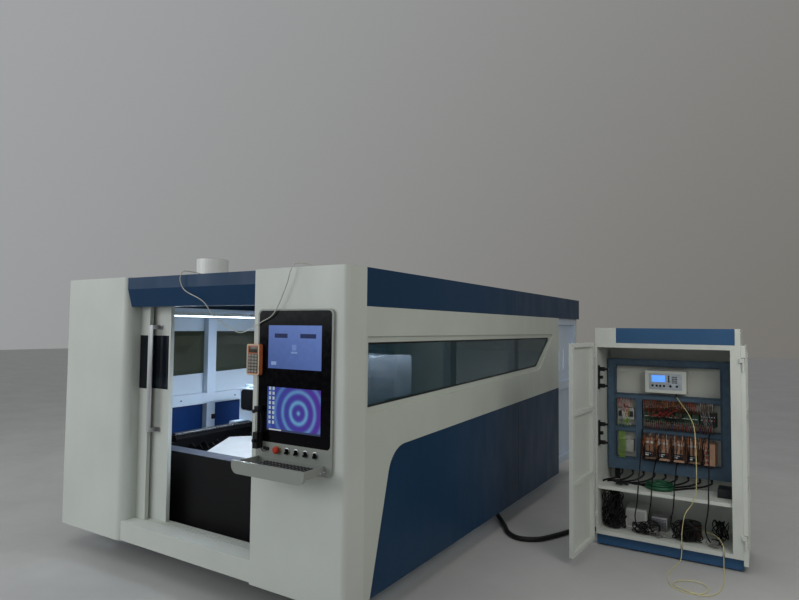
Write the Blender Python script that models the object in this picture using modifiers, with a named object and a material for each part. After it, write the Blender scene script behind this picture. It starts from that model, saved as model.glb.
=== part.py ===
"""Enclosed sheet cutting machine with its control cabinet.

The machine frame: x runs from the right side plane (0) to the left side plane (-BODY_WIDTH),
y from the front plane (0) to the rear, z up from the floor. All sizes are metres.
"""
import math

import bmesh
import bpy
from mathutils import Matrix, Vector

# Clearances shared by the whole machine
SEAT = 0.0003
SEAM = 0.003
OVERRUN = 0.02
SHARP_DEGREES = 35.0

# Enclosure
BODY_WIDTH = 2.775
BODY_LENGTH = 4.665
ROOF_TOP = 2.057
ROOF_WALL = 0.03
ROOF_BAND_HEIGHT = 0.227
BAND_BOTTOM = ROOF_TOP - ROOF_BAND_HEIGHT
SKIRT_BOTTOM = 0.15
PANEL_WALL = 0.03
COLUMN_WIDTH = 0.712
COLUMN_DEPTH = 0.183
COLUMN_SKIRT_LIFT = 0.006
COLUMN_BOTTOM = SKIRT_BOTTOM + COLUMN_SKIRT_LIFT
COLUMN_ROUND = 0.028
LEFT_FACE_WIDTH = 0.77
LEFT_RETURN_DEPTH = 0.1147
LEFT_RETURN_ROUND = 0.062
LEFT_WALL = 0.03
LEFT_CAP_HEIGHT = 0.03
CAP_INSET = 0.001
REAR_WALL = 0.03
BAY_LENGTH = 0.825
BAY_START = BODY_LENGTH - BAY_LENGTH
SHEET_JOINT_FROM_BAY = 1.22
SHEET_JOINT_Y = BAY_START - SHEET_JOINT_FROM_BAY
SHEET_JOINT_DEPTH = 0.004

# Lintel, sill and the telescopic door
LINTEL_DROP = 0.007
LINTEL_UPPER_HEIGHT = 0.083
LINTEL_LOWER_HEIGHT = 0.127
LINTEL_TOP = ROOF_TOP - LINTEL_DROP
LINTEL_FOLD = LINTEL_TOP - LINTEL_UPPER_HEIGHT
LINTEL_BOTTOM = LINTEL_FOLD - LINTEL_LOWER_HEIGHT
LINTEL_SLOPE = 0.035
LINTEL_DEPTH = 0.112
LINTEL_FLANGE = 0.02
TRACK_LIFT = 0.04
TRACK_BOTTOM = LINTEL_BOTTOM + TRACK_LIFT
TRACK_HEIGHT = 0.05
TRACK_DEPTH = 0.207
TRACK_END_GAP = 0.1127
SILL_BOTTOM_LIFT = 0.017
SILL_HEIGHT = 0.132
SILL_BOTTOM = SKIRT_BOTTOM + SILL_BOTTOM_LIFT
SILL_TOP = SILL_BOTTOM + SILL_HEIGHT
GROOVE_WIDTH = 0.010
GROOVE_DEPTH = 0.011
LEAF_WIDTH = 0.70
LEAF_WALL = 0.03
SLOW_LEAF_Y = 0.115
LEAF_PASSING_GAP = 0.017
FAST_LEAF_Y = SLOW_LEAF_Y + LEAF_WALL + LEAF_PASSING_GAP
SLOW_LEAF_SHOWS = 0.108
FAST_LEAF_SHOWS = 0.285
SLOW_LEAF_EDGE = LEFT_FACE_WIDTH + SLOW_LEAF_SHOWS - BODY_WIDTH
FAST_LEAF_EDGE = LEFT_FACE_WIDTH + FAST_LEAF_SHOWS - BODY_WIDTH
TONGUE_WIDTH = 0.008
TONGUE_LENGTH = 0.008
LEAF_STILE = 0.03
LEAF_WINDOW_DROP = 0.26
LEAF_WINDOW_HEIGHT = 0.366
LEAF_WINDOW_HIGH = TRACK_BOTTOM - LEAF_WINDOW_DROP
LEAF_WINDOW_LOW = LEAF_WINDOW_HIGH - LEAF_WINDOW_HEIGHT
LEAF_GLASS_WALL = 0.006
LEAF_GLASS_LAP = 0.018
HANDLE_DROP = 0.172
HANDLE_LENGTH = 0.775
HANDLE_HIGH = TRACK_BOTTOM - HANDLE_DROP
HANDLE_LOW = HANDLE_HIGH - HANDLE_LENGTH
HANDLE_WIDTH = 0.04
HANDLE_WALL = 0.006
HANDLE_INSET = 0.125
HANDLE_FRONT = 0.1
HANDLE_FOOT_HEIGHT = 0.03
HANDLE_FOOT_REACH = 0.035

# Side walls: belt line, toe and window
TOE_Y = 0.25
WINDOW_DROP = 0.175
WINDOW_FRONT_HEIGHT = 0.451
WINDOW_REAR_HEIGHT = 0.355
WINDOW_TOP_Z = BAND_BOTTOM - WINDOW_DROP
WINDOW_FRONT_LOW_Z = WINDOW_TOP_Z - WINDOW_FRONT_HEIGHT
WINDOW_REAR_LOW_Z = WINDOW_TOP_Z - WINDOW_REAR_HEIGHT
KNEE_Y = 0.473
KNEE_BELOW_WINDOW = 0.2313
BELT_BELOW_WINDOW = 0.232
KNEE_Z = WINDOW_FRONT_LOW_Z - KNEE_BELOW_WINDOW
KNEE_ROUND = 0.19
BELT_REAR_Z = WINDOW_REAR_LOW_Z - BELT_BELOW_WINDOW
WINDOW_FRONT_Y = 0.2
WINDOW_FROM_BAY = 0.17
WINDOW_REAR_RAKE = 0.455
WINDOW_REAR_TOP_Y = BAY_START - WINDOW_FROM_BAY
WINDOW_REAR_LOW_Y = WINDOW_REAR_TOP_Y - WINDOW_REAR_RAKE
WINDOW_ROUND = 0.16
WINDOW_EDGE_ROUND = 0.02
SIGHT_MARGIN = 0.036
SIGHT_REAR_MARGIN = 0.075
RECESS_DEPTH = 0.018
GLASS_WALL = 0.006
GLASS_LAP = 0.012
FRAME_DEPTH = 0.06
FRAME_MID_BELOW_WINDOW = 0.148
FRAME_MID_HEIGHT = 0.101
FRAME_MID_HIGH = WINDOW_FRONT_LOW_Z - FRAME_MID_BELOW_WINDOW
FRAME_MID_LOW = FRAME_MID_HIGH - FRAME_MID_HEIGHT
FRAME_TOP_LAP = 0.04
FRAME_TOP_HEIGHT = 0.086
FRAME_TOP_HIGH = BAND_BOTTOM + FRAME_TOP_LAP
FRAME_TOP_LOW = FRAME_TOP_HIGH - FRAME_TOP_HEIGHT
FRAME_FOOT_HEIGHT = 0.09
FRAME_POST_WIDTH = 0.1
FRAME_SECOND_POST_FROM_BAY = 1.175
FRAME_POST_PITCH = 1.3
FRAME_SECOND_POST_Y = BAY_START - FRAME_SECOND_POST_FROM_BAY
FRAME_FIRST_POST_Y = FRAME_SECOND_POST_Y - FRAME_POST_PITCH
FRAME_END_POST = 0.07
PAD_INSET = 0.01

# Rear service bay, roof duct
BAY_INSET = 0.035
BAY_FRAME_DEPTH = 0.05
BAY_STILE = 0.055
BAY_LIFT = 0.06
BAY_BOTTOM = SKIRT_BOTTOM + BAY_LIFT
BAY_RAIL = 0.07
BAY_LEDGE_DROP = 0.71
BAY_LEDGE_HEIGHT = 0.09
BAY_LEDGE_HIGH = BAND_BOTTOM - BAY_LEDGE_DROP
BAY_LEDGE_LOW = BAY_LEDGE_HIGH - BAY_LEDGE_HEIGHT
BAY_SHEET = 0.01
BAY_SLOT_DROP = 0.36
BAY_SLOT_HEIGHT = 0.23
BAY_SLOT_HIGH = BAND_BOTTOM - BAY_SLOT_DROP
BAY_SLOT_LOW = BAY_SLOT_HIGH - BAY_SLOT_HEIGHT
BAY_SLOT_WIDTH = 0.035
BAY_SLOT_INSET = 0.28
BAY_FIRST_SLOT_Y = BAY_START + BAY_SLOT_INSET
BAY_SLOT_PITCH = 0.18
DUCT_FROM_LEFT = 0.735
DUCT_X = DUCT_FROM_LEFT - BODY_WIDTH
DUCT_Y = 0.80
DUCT_RADIUS = 0.13
DUCT_WALL = 0.006
DUCT_HEIGHT = 0.208
DUCT_TOP = ROOF_TOP + DUCT_HEIGHT
DUCT_FLANGE = 0.03
DUCT_FLANGE_WALL = 0.006

# Bed, slat table and blank
BED_SIDE = 0.415
BED_FRONT = 0.283
BED_REAR_GAP = 0.215
BED_REAR = BODY_LENGTH - BED_REAR_GAP
BED_BOTTOM = 0.17
BED_HEIGHT = 0.605
BED_TOP = BED_BOTTOM + BED_HEIGHT
BED_BEAM = 0.30
BED_FRONT_BEAM = 0.127
BED_REAR_BEAM = 0.90
BED_PAN = 0.03
TABLE_LEDGE = 0.04
TABLE_LEDGE_DROP = 0.155
TABLE_LEDGE_Z = BED_TOP - TABLE_LEDGE_DROP
FOOT_RADIUS = 0.06
FOOT_ROW_COUNT = 4
FOOT_INSET = 0.15
RAIL_WIDTH = 0.03
RAIL_HEIGHT = 0.027
RAIL_FROM_EDGE = 0.145
RAIL_FRONT_INSET = 0.167
RAIL_REAR_INSET = 0.10
RAIL_START = BED_FRONT + RAIL_FRONT_INSET
RAIL_END = BED_REAR - RAIL_REAR_INSET
GUARD_WIDTH = 0.08
GUARD_HEIGHT = 0.05
GUARD_SLOPE = 0.02
GUARD_FRONT_INSET = 0.217
GUARD_REAR_INSET = 0.20
GUARD_START = BED_FRONT + GUARD_FRONT_INSET
GUARD_END = BED_REAR - GUARD_REAR_INSET
BRACKET_WIDTH = 0.08
BRACKET_HEIGHT = 0.06
TABLE_RAIL = 0.05
TABLE_RAIL_DROP = 0.075
TABLE_RAIL_TOP = BED_TOP - TABLE_RAIL_DROP
TABLE_END_GAP = 0.04
TABLE_LENGTH = BED_REAR - BED_REAR_BEAM - BED_FRONT - BED_FRONT_BEAM - TABLE_END_GAP
SLAT_COUNT = 23
SLAT_WALL = 0.005
SLAT_TOP_DROP = 0.01
SLAT_HEIGHT = 0.105
SLAT_TOP = BED_TOP - SLAT_TOP_DROP
SLAT_LOW = SLAT_TOP - SLAT_HEIGHT
TOOTH_DEPTH = 0.03
TOOTH_COUNT = 14
SLAT_GRIP = 0.02
BLANK_WALL = 0.003
BLANK_FRONT_GAP = 0.02
BLANK_DEPTH = 0.89
BLANK_SIDE_DEPTH = 0.50
BLANK_RIGHT_GAP = 0.235
BLANK_LEFT_GAP = 0.13
BLANK_CORNER_GAP = 0.44
BLANK_FRONT_Y = BED_FRONT + BED_FRONT_BEAM + BLANK_FRONT_GAP
BLANK_SIDE_Y = BLANK_FRONT_Y + BLANK_SIDE_DEPTH
BLANK_REAR_Y = BLANK_FRONT_Y + BLANK_DEPTH
BLANK_LEFT_X = BED_SIDE + BED_BEAM + BLANK_LEFT_GAP - BODY_WIDTH
BLANK_CORNER_X = BED_SIDE + BED_BEAM + BLANK_CORNER_GAP - BODY_WIDTH
BLANK_RIGHT_X = -BED_SIDE - BED_BEAM - BLANK_RIGHT_GAP

# Gantry, carriage and head
GANTRY_FROM_BED = 1.037
GANTRY_Y = BED_FRONT + GANTRY_FROM_BED
GANTRY_DEPTH = 0.36
GANTRY_LIFT = 0.055
GANTRY_HEIGHT = 0.30
GANTRY_LOW = BED_TOP + GANTRY_LIFT
GANTRY_TOP = GANTRY_LOW + GANTRY_HEIGHT
GANTRY_FROM_BED_SIDE = 0.126
GANTRY_SIDE = BED_SIDE + GANTRY_FROM_BED_SIDE
TOP_RAIL_HEIGHT = 0.018
TOP_RAIL_WIDTH = 0.03
TOP_RAIL_INSET = 0.06
LEG_WIDTH = 0.075
LEG_LENGTH = 0.6
LEG_LIFT = 0.01
LEG_BOTTOM = BED_TOP + LEG_LIFT
LEG_LAP = 0.01
GEARBOX_LIFT = 0.04
GEARBOX_REACH = 0.11
GEARBOX_LENGTH = 0.12
GEARBOX_HEIGHT = 0.11
MOTOR_RADIUS = 0.045
MOTOR_HEIGHT = 0.17
MOTOR_CAP_SHARE = 0.78
FRONT_COVER_WALL = 0.006
FRONT_COVER_LIFT = 0.106
FRONT_COVER_DROP = 0.008
FRONT_COVER_LOW = GANTRY_LOW + FRONT_COVER_LIFT
FRONT_COVER_TOP = GANTRY_TOP - FRONT_COVER_DROP
FRONT_COVER_INSET = 0.024
FRONT_COVER_ROUND = 0.03
CARRIAGE_FROM_GANTRY_END = 0.059
CARRIAGE_RIGHT = -GANTRY_SIDE - CARRIAGE_FROM_GANTRY_END
CARRIAGE_WIDTH = 0.38
COVER_WALL = 0.012
COVER_NOSE = 0.34
COVER_TAIL = 0.02
COVER_LIP = 0.02
COVER_FRONT = GANTRY_Y - COVER_NOSE
COVER_REAR = GANTRY_Y + GANTRY_DEPTH + COVER_TAIL
COVER_STEP_Y = GANTRY_Y - COVER_LIP
COVER_ABOVE_GANTRY = 0.35
COVER_LIFT = 0.07
COVER_REAR_LIFT = 0.021
COVER_TOP = GANTRY_TOP + COVER_ABOVE_GANTRY
COVER_LOW = GANTRY_LOW + COVER_LIFT
COVER_REAR_LOW = GANTRY_TOP + COVER_REAR_LIFT
COVER_ROUND = 0.03
SADDLE_ABOVE_GANTRY = 0.07
SADDLE_TOP = GANTRY_TOP + SADDLE_ABOVE_GANTRY
SADDLE_WALL = 0.05
SADDLE_LIFT = 0.12
SADDLE_LOW = GANTRY_LOW + SADDLE_LIFT
SADDLE_REACH = 0.30
SADDLE_REAR = GANTRY_Y + SADDLE_REACH
HEAD_PLATE_WIDTH = 0.12
HEAD_PLATE_WALL = 0.024
HEAD_PLATE_LIFT = 0.12
HEAD_PLATE_LOW = GANTRY_LOW + HEAD_PLATE_LIFT
HEAD_PLATE_TOP = GANTRY_TOP + HEAD_PLATE_LIFT
HEAD_RADIUS = 0.045
HEAD_ABOVE_GANTRY = 0.15
HEAD_LIFT = 0.04
HEAD_SEAT_SHARE = 0.8
HEAD_BARREL_SHARES = (
    (0.62, 1.0), (0.62, 0.74), (1.0, 0.71), (1.0, 0.50), (0.90, 0.49), (0.90, 0.43), (1.0, 0.42),
)
HEAD_TOP = GANTRY_TOP + HEAD_ABOVE_GANTRY
HEAD_LOW = GANTRY_LOW + HEAD_LIFT
NOZZLE_LIFT = 0.025
NOZZLE_TIP = BED_TOP + NOZZLE_LIFT
NOZZLE_RADIUS = 0.012
NOZZLE_COLLAR = 0.03
NOZZLE_LENGTH = 0.03
NOZZLE_STEP_SHARE = 0.6
NOZZLE_CONE_SHARE = 0.4

# Console on the right column
CONSOLE_EDGE_GAP = 0.047
CONSOLE_WIDTH = 0.58
CONSOLE_DROP = 0.247
CONSOLE_HEIGHT = 0.936
CONSOLE_LEFT = CONSOLE_EDGE_GAP - COLUMN_WIDTH
CONSOLE_RIGHT = CONSOLE_LEFT + CONSOLE_WIDTH
CONSOLE_HIGH = ROOF_TOP - CONSOLE_DROP
CONSOLE_LOW = CONSOLE_HIGH - CONSOLE_HEIGHT
CONSOLE_WALL = 0.014
CONSOLE_ROUND = 0.032
PANE_MARGIN = 0.012
PANE_LIFT = 0.15
PANE_TOP_MARGIN = 0.009
PANE_LOW = CONSOLE_LOW + PANE_LIFT
PANE_HIGH = CONSOLE_HIGH - PANE_TOP_MARGIN
PANE_WALL = 0.008
PANE_ROUND = 0.025
SCREEN_WIDTH = 0.408
SCREEN_HEIGHT = 0.255
SCREEN_INSET = 0.088
LOWER_SCREEN_LIFT = 0.0705
SCREEN_PITCH = 0.3645
SCREEN_LEFT = CONSOLE_LEFT + SCREEN_INSET
LOWER_SCREEN_LOW = PANE_LOW + LOWER_SCREEN_LIFT
UPPER_SCREEN_LOW = LOWER_SCREEN_LOW + SCREEN_PITCH
SCREEN_WALL = 0.003
BUTTON_ROW_LIFT = 0.111
BUTTON_ROW_Z = CONSOLE_LOW + BUTTON_ROW_LIFT
STOP_INSET = 0.177
STOP_X = CONSOLE_LEFT + STOP_INSET
STOP_HEAD_RADIUS = 0.021
STOP_HEAD_HEIGHT = 0.014
STOP_NECK_RADIUS = 0.011
STOP_NECK_LENGTH = 0.012
STOP_TRAVEL = 0.004
FIRST_SWITCH_PITCH = 0.075
FIRST_SWITCH_X = STOP_X + FIRST_SWITCH_PITCH
SWITCH_PITCH = 0.07
SWITCH_COUNT = 4
SWITCH_RADIUS = 0.015
SWITCH_COLLAR = 0.008
SWITCH_GRIP_HEIGHT = 0.014
SWITCH_GRIP_WIDTH = 0.008
STEM_RADIUS = 0.008
STEM_DEPTH = 0.006
STEM_CLEARANCE = 0.0008
HOLE_DEPTH = 0.0115
TRAY_INSET = 0.005
TRAY_WIDTH = 0.545
TRAY_REACH = 0.21
TRAY_WALL_HEIGHT = 0.072
TRAY_DROP = 0.006
TRAY_FLOOR_RISE = 0.027
TRAY_LEFT = CONSOLE_LEFT + TRAY_INSET
TRAY_RIGHT = TRAY_LEFT + TRAY_WIDTH
TRAY_FRONT = -TRAY_REACH
TRAY_LOW = CONSOLE_LOW - TRAY_DROP
TRAY_TOP = TRAY_LOW + TRAY_WALL_HEIGHT
TRAY_FLOOR = TRAY_LOW + TRAY_FLOOR_RISE
TRAY_WALL = 0.004
TRAY_ROUND = 0.045
TRAY_LIP = 0.02
KEYBOARD_WIDTH = 0.40
KEYBOARD_DEPTH = 0.14
KEYBOARD_HEIGHT = 0.018
KEYBOARD_REAR_HEIGHT = 0.028
PENDANT_OVERHANG = 0.063
PENDANT_LIFT = 0.389
PENDANT_LEFT = CONSOLE_LEFT - PENDANT_OVERHANG
PENDANT_WIDTH = 0.105
PENDANT_LOW = PANE_LOW + PENDANT_LIFT
PENDANT_HEIGHT = 0.187
PENDANT_WALL = 0.028
PENDANT_ROUND = 0.014
CLIP_INSET = 0.04
CLIP_X = CONSOLE_LEFT + CLIP_INSET
CLIP_REACH = 0.23
CLIP_LOW = BUTTON_ROW_Z
CLIP_HIGH = CLIP_LOW + CLIP_REACH
CLIP_BLOCK = 0.034
CLIP_CLAMP_HEIGHT = 0.095
CLIP_ROD_RADIUS = 0.005
CLIP_STAND_OFF = 0.05

# Control cabinet
CABINET_AISLE = 0.775
CABINET_WIDTH = 1.015
CABINET_SET_BACK = 2.28
CABINET_LEFT = CABINET_AISLE
CABINET_RIGHT = CABINET_LEFT + CABINET_WIDTH
CABINET_FRONT = CABINET_SET_BACK
CABINET_DEPTH = 0.50
CABINET_HEIGHT = 1.627
CABINET_BOTTOM = 0.095
CABINET_TOP = CABINET_BOTTOM + CABINET_HEIGHT
CABINET_SKIN = 0.014
CABINET_RIGHT_STILE = 0.066
CABINET_FLOOR_WALL = 0.03
CABINET_FLOOR = CABINET_BOTTOM + CABINET_FLOOR_WALL
CABINET_HEAD_HEIGHT = 0.154
CABINET_OPENING_TOP = CABINET_TOP - CABINET_HEAD_HEIGHT
CABINET_HEAD_WALL = 0.03
FASCIA_HEIGHT = 0.118
FASCIA_LOW = CABINET_TOP - FASCIA_HEIGHT
FASCIA_LEFT_INSET = 0.16
FASCIA_RIGHT_INSET = 0.035
FASCIA_WALL = 0.012
PLINTH_HEIGHT = 0.083
PLINTH_BOTTOM = CABINET_BOTTOM - PLINTH_HEIGHT
PLINTH_INSET = 0.025
PLINTH_FOOT_RADIUS = 0.025
LOWER_ROOM_HEIGHT = 0.32
SHELF_WALL = 0.025
SHELF_TOP = CABINET_FLOOR + LOWER_ROOM_HEIGHT + SHELF_WALL
SHELF_DEPTH = 0.33
SHELF_SETBACK = 0.02
CABLE_NOTCH = 0.016
CABLE_NOTCH_DEPTH = 0.032
NOTCH_FIRST_GAP = 0.398
NOTCH_SECOND_GAP = 0.125
NOTCH_FIRST_X = CABINET_RIGHT - NOTCH_FIRST_GAP
NOTCH_SECOND_X = CABINET_RIGHT - NOTCH_SECOND_GAP
PLATE_SET_BACK = 0.38
PLATE_Y = CABINET_FRONT + PLATE_SET_BACK
PLATE_WALL = 0.004
PLATE_LOW_MARGIN = 0.086
PLATE_TOP_MARGIN = 0.101
PLATE_LEFT_MARGIN = 0.025
PLATE_RIGHT_MARGIN = 0.085
PLATE_LOW = SHELF_TOP + PLATE_LOW_MARGIN
PLATE_HIGH = CABINET_OPENING_TOP - PLATE_TOP_MARGIN
PLATE_LEFT = CABINET_LEFT + PLATE_LEFT_MARGIN
PLATE_RIGHT = CABINET_RIGHT - PLATE_RIGHT_MARGIN
TRUNKING_DEPTH = 0.055
TRUNKING_LEFT = 0.062
TRUNKING_RIGHT = 0.068
TRUNKING_TOP = 0.058
TRUNKING_MID_WIDTH = 0.048
TRUNKING_MID_INSET = 0.22
TRUNKING_MID_X = PLATE_LEFT + TRUNKING_MID_INSET
TOP_ROW_LOW_SHARE = 0.68606
MIDDLE_ROW_HIGH_SHARE = 0.63008
MIDDLE_ROW_LOW_SHARE = 0.39407
LOWER_ROW_HIGH_SHARE = 0.33589
LOWER_ROW_LOW_SHARE = 0.10867
PLATE_HEIGHT = PLATE_HIGH - PLATE_LOW
TOP_ROW_LOW = PLATE_LOW + PLATE_HEIGHT * TOP_ROW_LOW_SHARE
MIDDLE_ROW_HIGH = PLATE_LOW + PLATE_HEIGHT * MIDDLE_ROW_HIGH_SHARE
MIDDLE_ROW_LOW = PLATE_LOW + PLATE_HEIGHT * MIDDLE_ROW_LOW_SHARE
LOWER_ROW_HIGH = PLATE_LOW + PLATE_HEIGHT * LOWER_ROW_HIGH_SHARE
LOWER_ROW_LOW = PLATE_LOW + PLATE_HEIGHT * LOWER_ROW_LOW_SHARE
ROW_LEFT = TRUNKING_MID_X + TRUNKING_MID_WIDTH
ROW_RIGHT = PLATE_RIGHT - TRUNKING_RIGHT
CONTROLLER_INSET = 0.032
CONTROLLER_LEFT = ROW_LEFT + CONTROLLER_INSET
CONTROLLER_WIDTH = 0.305
CONTROLLER_LOW_MARGIN = 0.023
CONTROLLER_TOP_MARGIN = 0.027
CONTROLLER_LOW = TOP_ROW_LOW + CONTROLLER_LOW_MARGIN
CONTROLLER_HEIGHT = PLATE_HIGH - TRUNKING_TOP - CONTROLLER_TOP_MARGIN - CONTROLLER_LOW
CONTROLLER_DEPTH = 0.095
CONTROLLER_ROUND = 0.008
DEVICE_LEFT_MARGIN = 0.014
DEVICE_RIGHT_MARGIN = 0.025
TERMINAL_LEFT = ROW_LEFT + DEVICE_LEFT_MARGIN
TERMINAL_WIDTH = ROW_RIGHT - DEVICE_RIGHT_MARGIN - TERMINAL_LEFT
TERMINAL_LOW_MARGIN = 0.045
TERMINAL_TOP_MARGIN = 0.06
TERMINAL_LOW = MIDDLE_ROW_LOW + TERMINAL_LOW_MARGIN
TERMINAL_HEIGHT = MIDDLE_ROW_HIGH - TERMINAL_TOP_MARGIN - TERMINAL_LOW
TERMINAL_DEPTH = 0.03
TERMINAL_STEP_DEPTH = 0.045
TERMINAL_COUNT = 9
TERMINAL_GAP_SHARE = 0.16
DRIVE_LEFT = TERMINAL_LEFT
DRIVE_WIDTH = TERMINAL_WIDTH
DRIVE_LOW_MARGIN = 0.017
DRIVE_TOP_MARGIN = 0.025
DRIVE_LOW = LOWER_ROW_LOW + DRIVE_LOW_MARGIN
DRIVE_HEIGHT = LOWER_ROW_HIGH - DRIVE_TOP_MARGIN - DRIVE_LOW
DRIVE_BACK_DEPTH = 0.012
DRIVE_DEPTH = 0.10
DRIVE_COUNT = 5
DRIVE_GAP_SHARE = 0.2
DEVICE_INSET = 0.185
DEVICE_SET_BACK = 0.19
DEVICE_LEFT = CABINET_LEFT + DEVICE_INSET
DEVICE_WIDTH = 0.16
DEVICE_FRONT = CABINET_FRONT + DEVICE_SET_BACK
DEVICE_DEPTH = 0.2
DEVICE_HEIGHT = 0.155
DRUM_RIGHT_GAP = 0.36
DRUM_SET_BACK = 0.22
DRUM_X = CABINET_RIGHT - DRUM_RIGHT_GAP
DRUM_Y = CABINET_FRONT + DRUM_SET_BACK
DRUM_RADIUS = 0.075
DRUM_HEIGHT = 0.115
DRUM_BORE = 0.02
COIL_INSET = 0.445
COIL_SET_BACK = 0.175
COIL_X = CABINET_LEFT + COIL_INSET
COIL_Y = CABINET_FRONT + COIL_SET_BACK
COIL_RADIUS = 0.085
COIL_TUBE = 0.018
CABINET_LEAF_SIDE_GAP = 0.0075
CABINET_LEAF_WIDTH = (CABINET_WIDTH - CABINET_LEAF_SIDE_GAP - CABINET_LEAF_SIDE_GAP) * 0.5
CABINET_LEAF_WALL = 0.03
CABINET_LEAF_DROP = 0.04
CABINET_LEAF_TOP_GAP = 0.001
CABINET_LEAF_LOW = CABINET_BOTTOM - CABINET_LEAF_DROP
CABINET_LEAF_HIGH = FASCIA_LOW - CABINET_LEAF_TOP_GAP
CABINET_LEAF_SKIN = 0.003
CABINET_LEAF_RIM = 0.03
CABINET_LEAF_BAR_COUNT = 2
HINGE_OFFSET = 0.0156
KNUCKLE_RADIUS = 0.006
KNUCKLE_LENGTH = 0.06
KNUCKLE_INSET = 0.12
KNUCKLE_LAP = 0.004
EAR_HEIGHT = 0.03
EAR_REACH = 0.02
EAR_NOTCH = 0.026
LEFT_OPEN_DEGREES = 93.5
RIGHT_OPEN_DEGREES = 270.0

# Cables
HANGING_POINT_COUNT = 70
PATCH_POINT_COUNT = 78
UMBILICAL_POINT_COUNT = 44
EXIT_RUN_SHARE = 1.2
HANGING_DIAMETER = 0.006
PATCH_DIAMETER = 0.0055
UMBILICAL_DIAMETER = 0.038

COARSE_CORD_SIDE_COUNT = 2
FINE_CORD_SIDE_COUNT = 3

for thing in list(bpy.data.objects):
    bpy.data.objects.remove(thing, do_unlink=True)

collection = bpy.data.collections.new("laser_cutting_machine")
cutter_collection = bpy.data.collections.new("cutters")
bpy.context.scene.collection.children.link(collection)
bpy.context.scene.collection.children.link(cutter_collection)


def paint(name, colour, roughness, metallic=0.0):
    """A Principled material, made once for each name."""
    known = bpy.data.materials.get(name)
    if known:
        return known
    material = bpy.data.materials.new(name)
    material.use_nodes = True
    shader = material.node_tree.nodes["Principled BSDF"]
    shader.inputs["Base Color"].default_value = (*colour, 1.0)
    shader.inputs["Roughness"].default_value = roughness
    shader.inputs["Metallic"].default_value = metallic
    return material


OFF_WHITE = paint("off_white_enamel", (0.60, 0.60, 0.55), 0.45)
BAY_WHITE = paint("cool_white_enamel", (0.62, 0.68, 0.80), 0.45)
NAVY = paint("navy_enamel", (0.012, 0.045, 0.13), 0.4)
ROYAL = paint("royal_blue_enamel", (0.015, 0.03, 0.20), 0.4)
BED_BLACK = paint("black_bed_paint", (0.012, 0.012, 0.014), 0.55)
SMOKED = paint("smoked_glass", (0.01, 0.015, 0.03), 0.08)
OLIVE = paint("olive_glass", (0.08, 0.09, 0.03), 0.08)
STEEL = paint("brushed_steel", (0.45, 0.45, 0.46), 0.35, 1.0)
GREY = paint("silver_grey_enamel", (0.42, 0.43, 0.42), 0.4)
BLACK_GLASS = paint("black_glass", (0.004, 0.004, 0.005), 0.08)
SCREEN_BLUE = paint("blue_screen", (0.09, 0.17, 0.55), 0.3)
SCREEN_PURPLE = paint("purple_screen", (0.08, 0.05, 0.30), 0.3)
STOP_RED = paint("red_plastic", (0.65, 0.05, 0.02), 0.4)
BLACK_PLASTIC = paint("black_plastic", (0.01, 0.01, 0.011), 0.5)
ORANGE = paint("orange_plastic", (0.75, 0.18, 0.06), 0.45)
TRUNK_BLUE = paint("blue_grey_plastic", (0.07, 0.11, 0.17), 0.5)
PLATE_GREY = paint("plate_grey", (0.22, 0.22, 0.20), 0.5)
BEIGE = paint("beige_plastic", (0.42, 0.25, 0.14), 0.5)
GREEN = paint("green_plastic", (0.02, 0.12, 0.03), 0.5)
COPPER = paint("copper", (0.55, 0.25, 0.12), 0.35, 1.0)
WHITE_CORD = paint("white_cable", (0.62, 0.62, 0.58), 0.5)
YELLOW_CORD = paint("yellow_cable", (0.6, 0.55, 0.25), 0.5)
BLACK_CORD = paint("black_cable", (0.01, 0.01, 0.01), 0.6)

root = bpy.data.objects.new("machine_origin", None)
collection.objects.link(root)


def axis_at(name, position, parent=None):
    """An empty on a joint's axis, placed in the machine's frame."""
    empty = bpy.data.objects.new(name, None)
    collection.objects.link(empty)
    attach(empty, Vector(position), parent)
    return empty


def standing_place(thing):
    """Where a parent stands in the machine's frame, before any turn."""
    place = Vector((0.0, 0.0, 0.0))
    while thing is not None and thing is not root:
        place = place + thing.location
        thing = thing.parent
    return place


def attach(thing, position, parent=None):
    """Place a thing, given in the machine's frame, under its parent."""
    thing.parent = parent or root
    thing.location = Vector(position) - standing_place(thing.parent)


def finish_mesh(thing):
    """Weld a mesh and point its faces outwards."""
    work = bmesh.new()
    work.from_mesh(thing.data)
    bmesh.ops.remove_doubles(work, verts=work.verts, dist=SEAT / 10)
    bmesh.ops.recalc_face_normals(work, faces=work.faces)
    work.to_mesh(thing.data)
    work.free()
    thing.data.shade_smooth()
    thing.data.set_sharp_from_angle(angle=math.radians(SHARP_DEGREES))


def node(name, mesh, position, material, parent=None):
    """A named sub-part from a mesh."""
    thing = bpy.data.objects.new(name, mesh)
    collection.objects.link(thing)
    mesh.materials.clear()
    mesh.materials.append(material)
    attach(thing, position, parent)
    return thing


def block(name, low, high, material, parent=None):
    """A solid block between its lowest and highest corners."""
    low = Vector(low)
    high = Vector(high)
    size = high - low
    mesh = bpy.data.meshes.new(name)
    work = bmesh.new()
    bmesh.ops.create_cube(work, size=1.0, matrix=Matrix.Diagonal((*size, 1.0)))
    work.to_mesh(mesh)
    work.free()
    return node(name, mesh, (low + high) / 2, material, parent)


TURNS = {
    "x": (math.pi / 2, 0.0, math.pi / 2),
    "y": (math.pi / 2, 0.0, 0.0),
    "z": (0.0, 0.0, 0.0),
}


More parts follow.
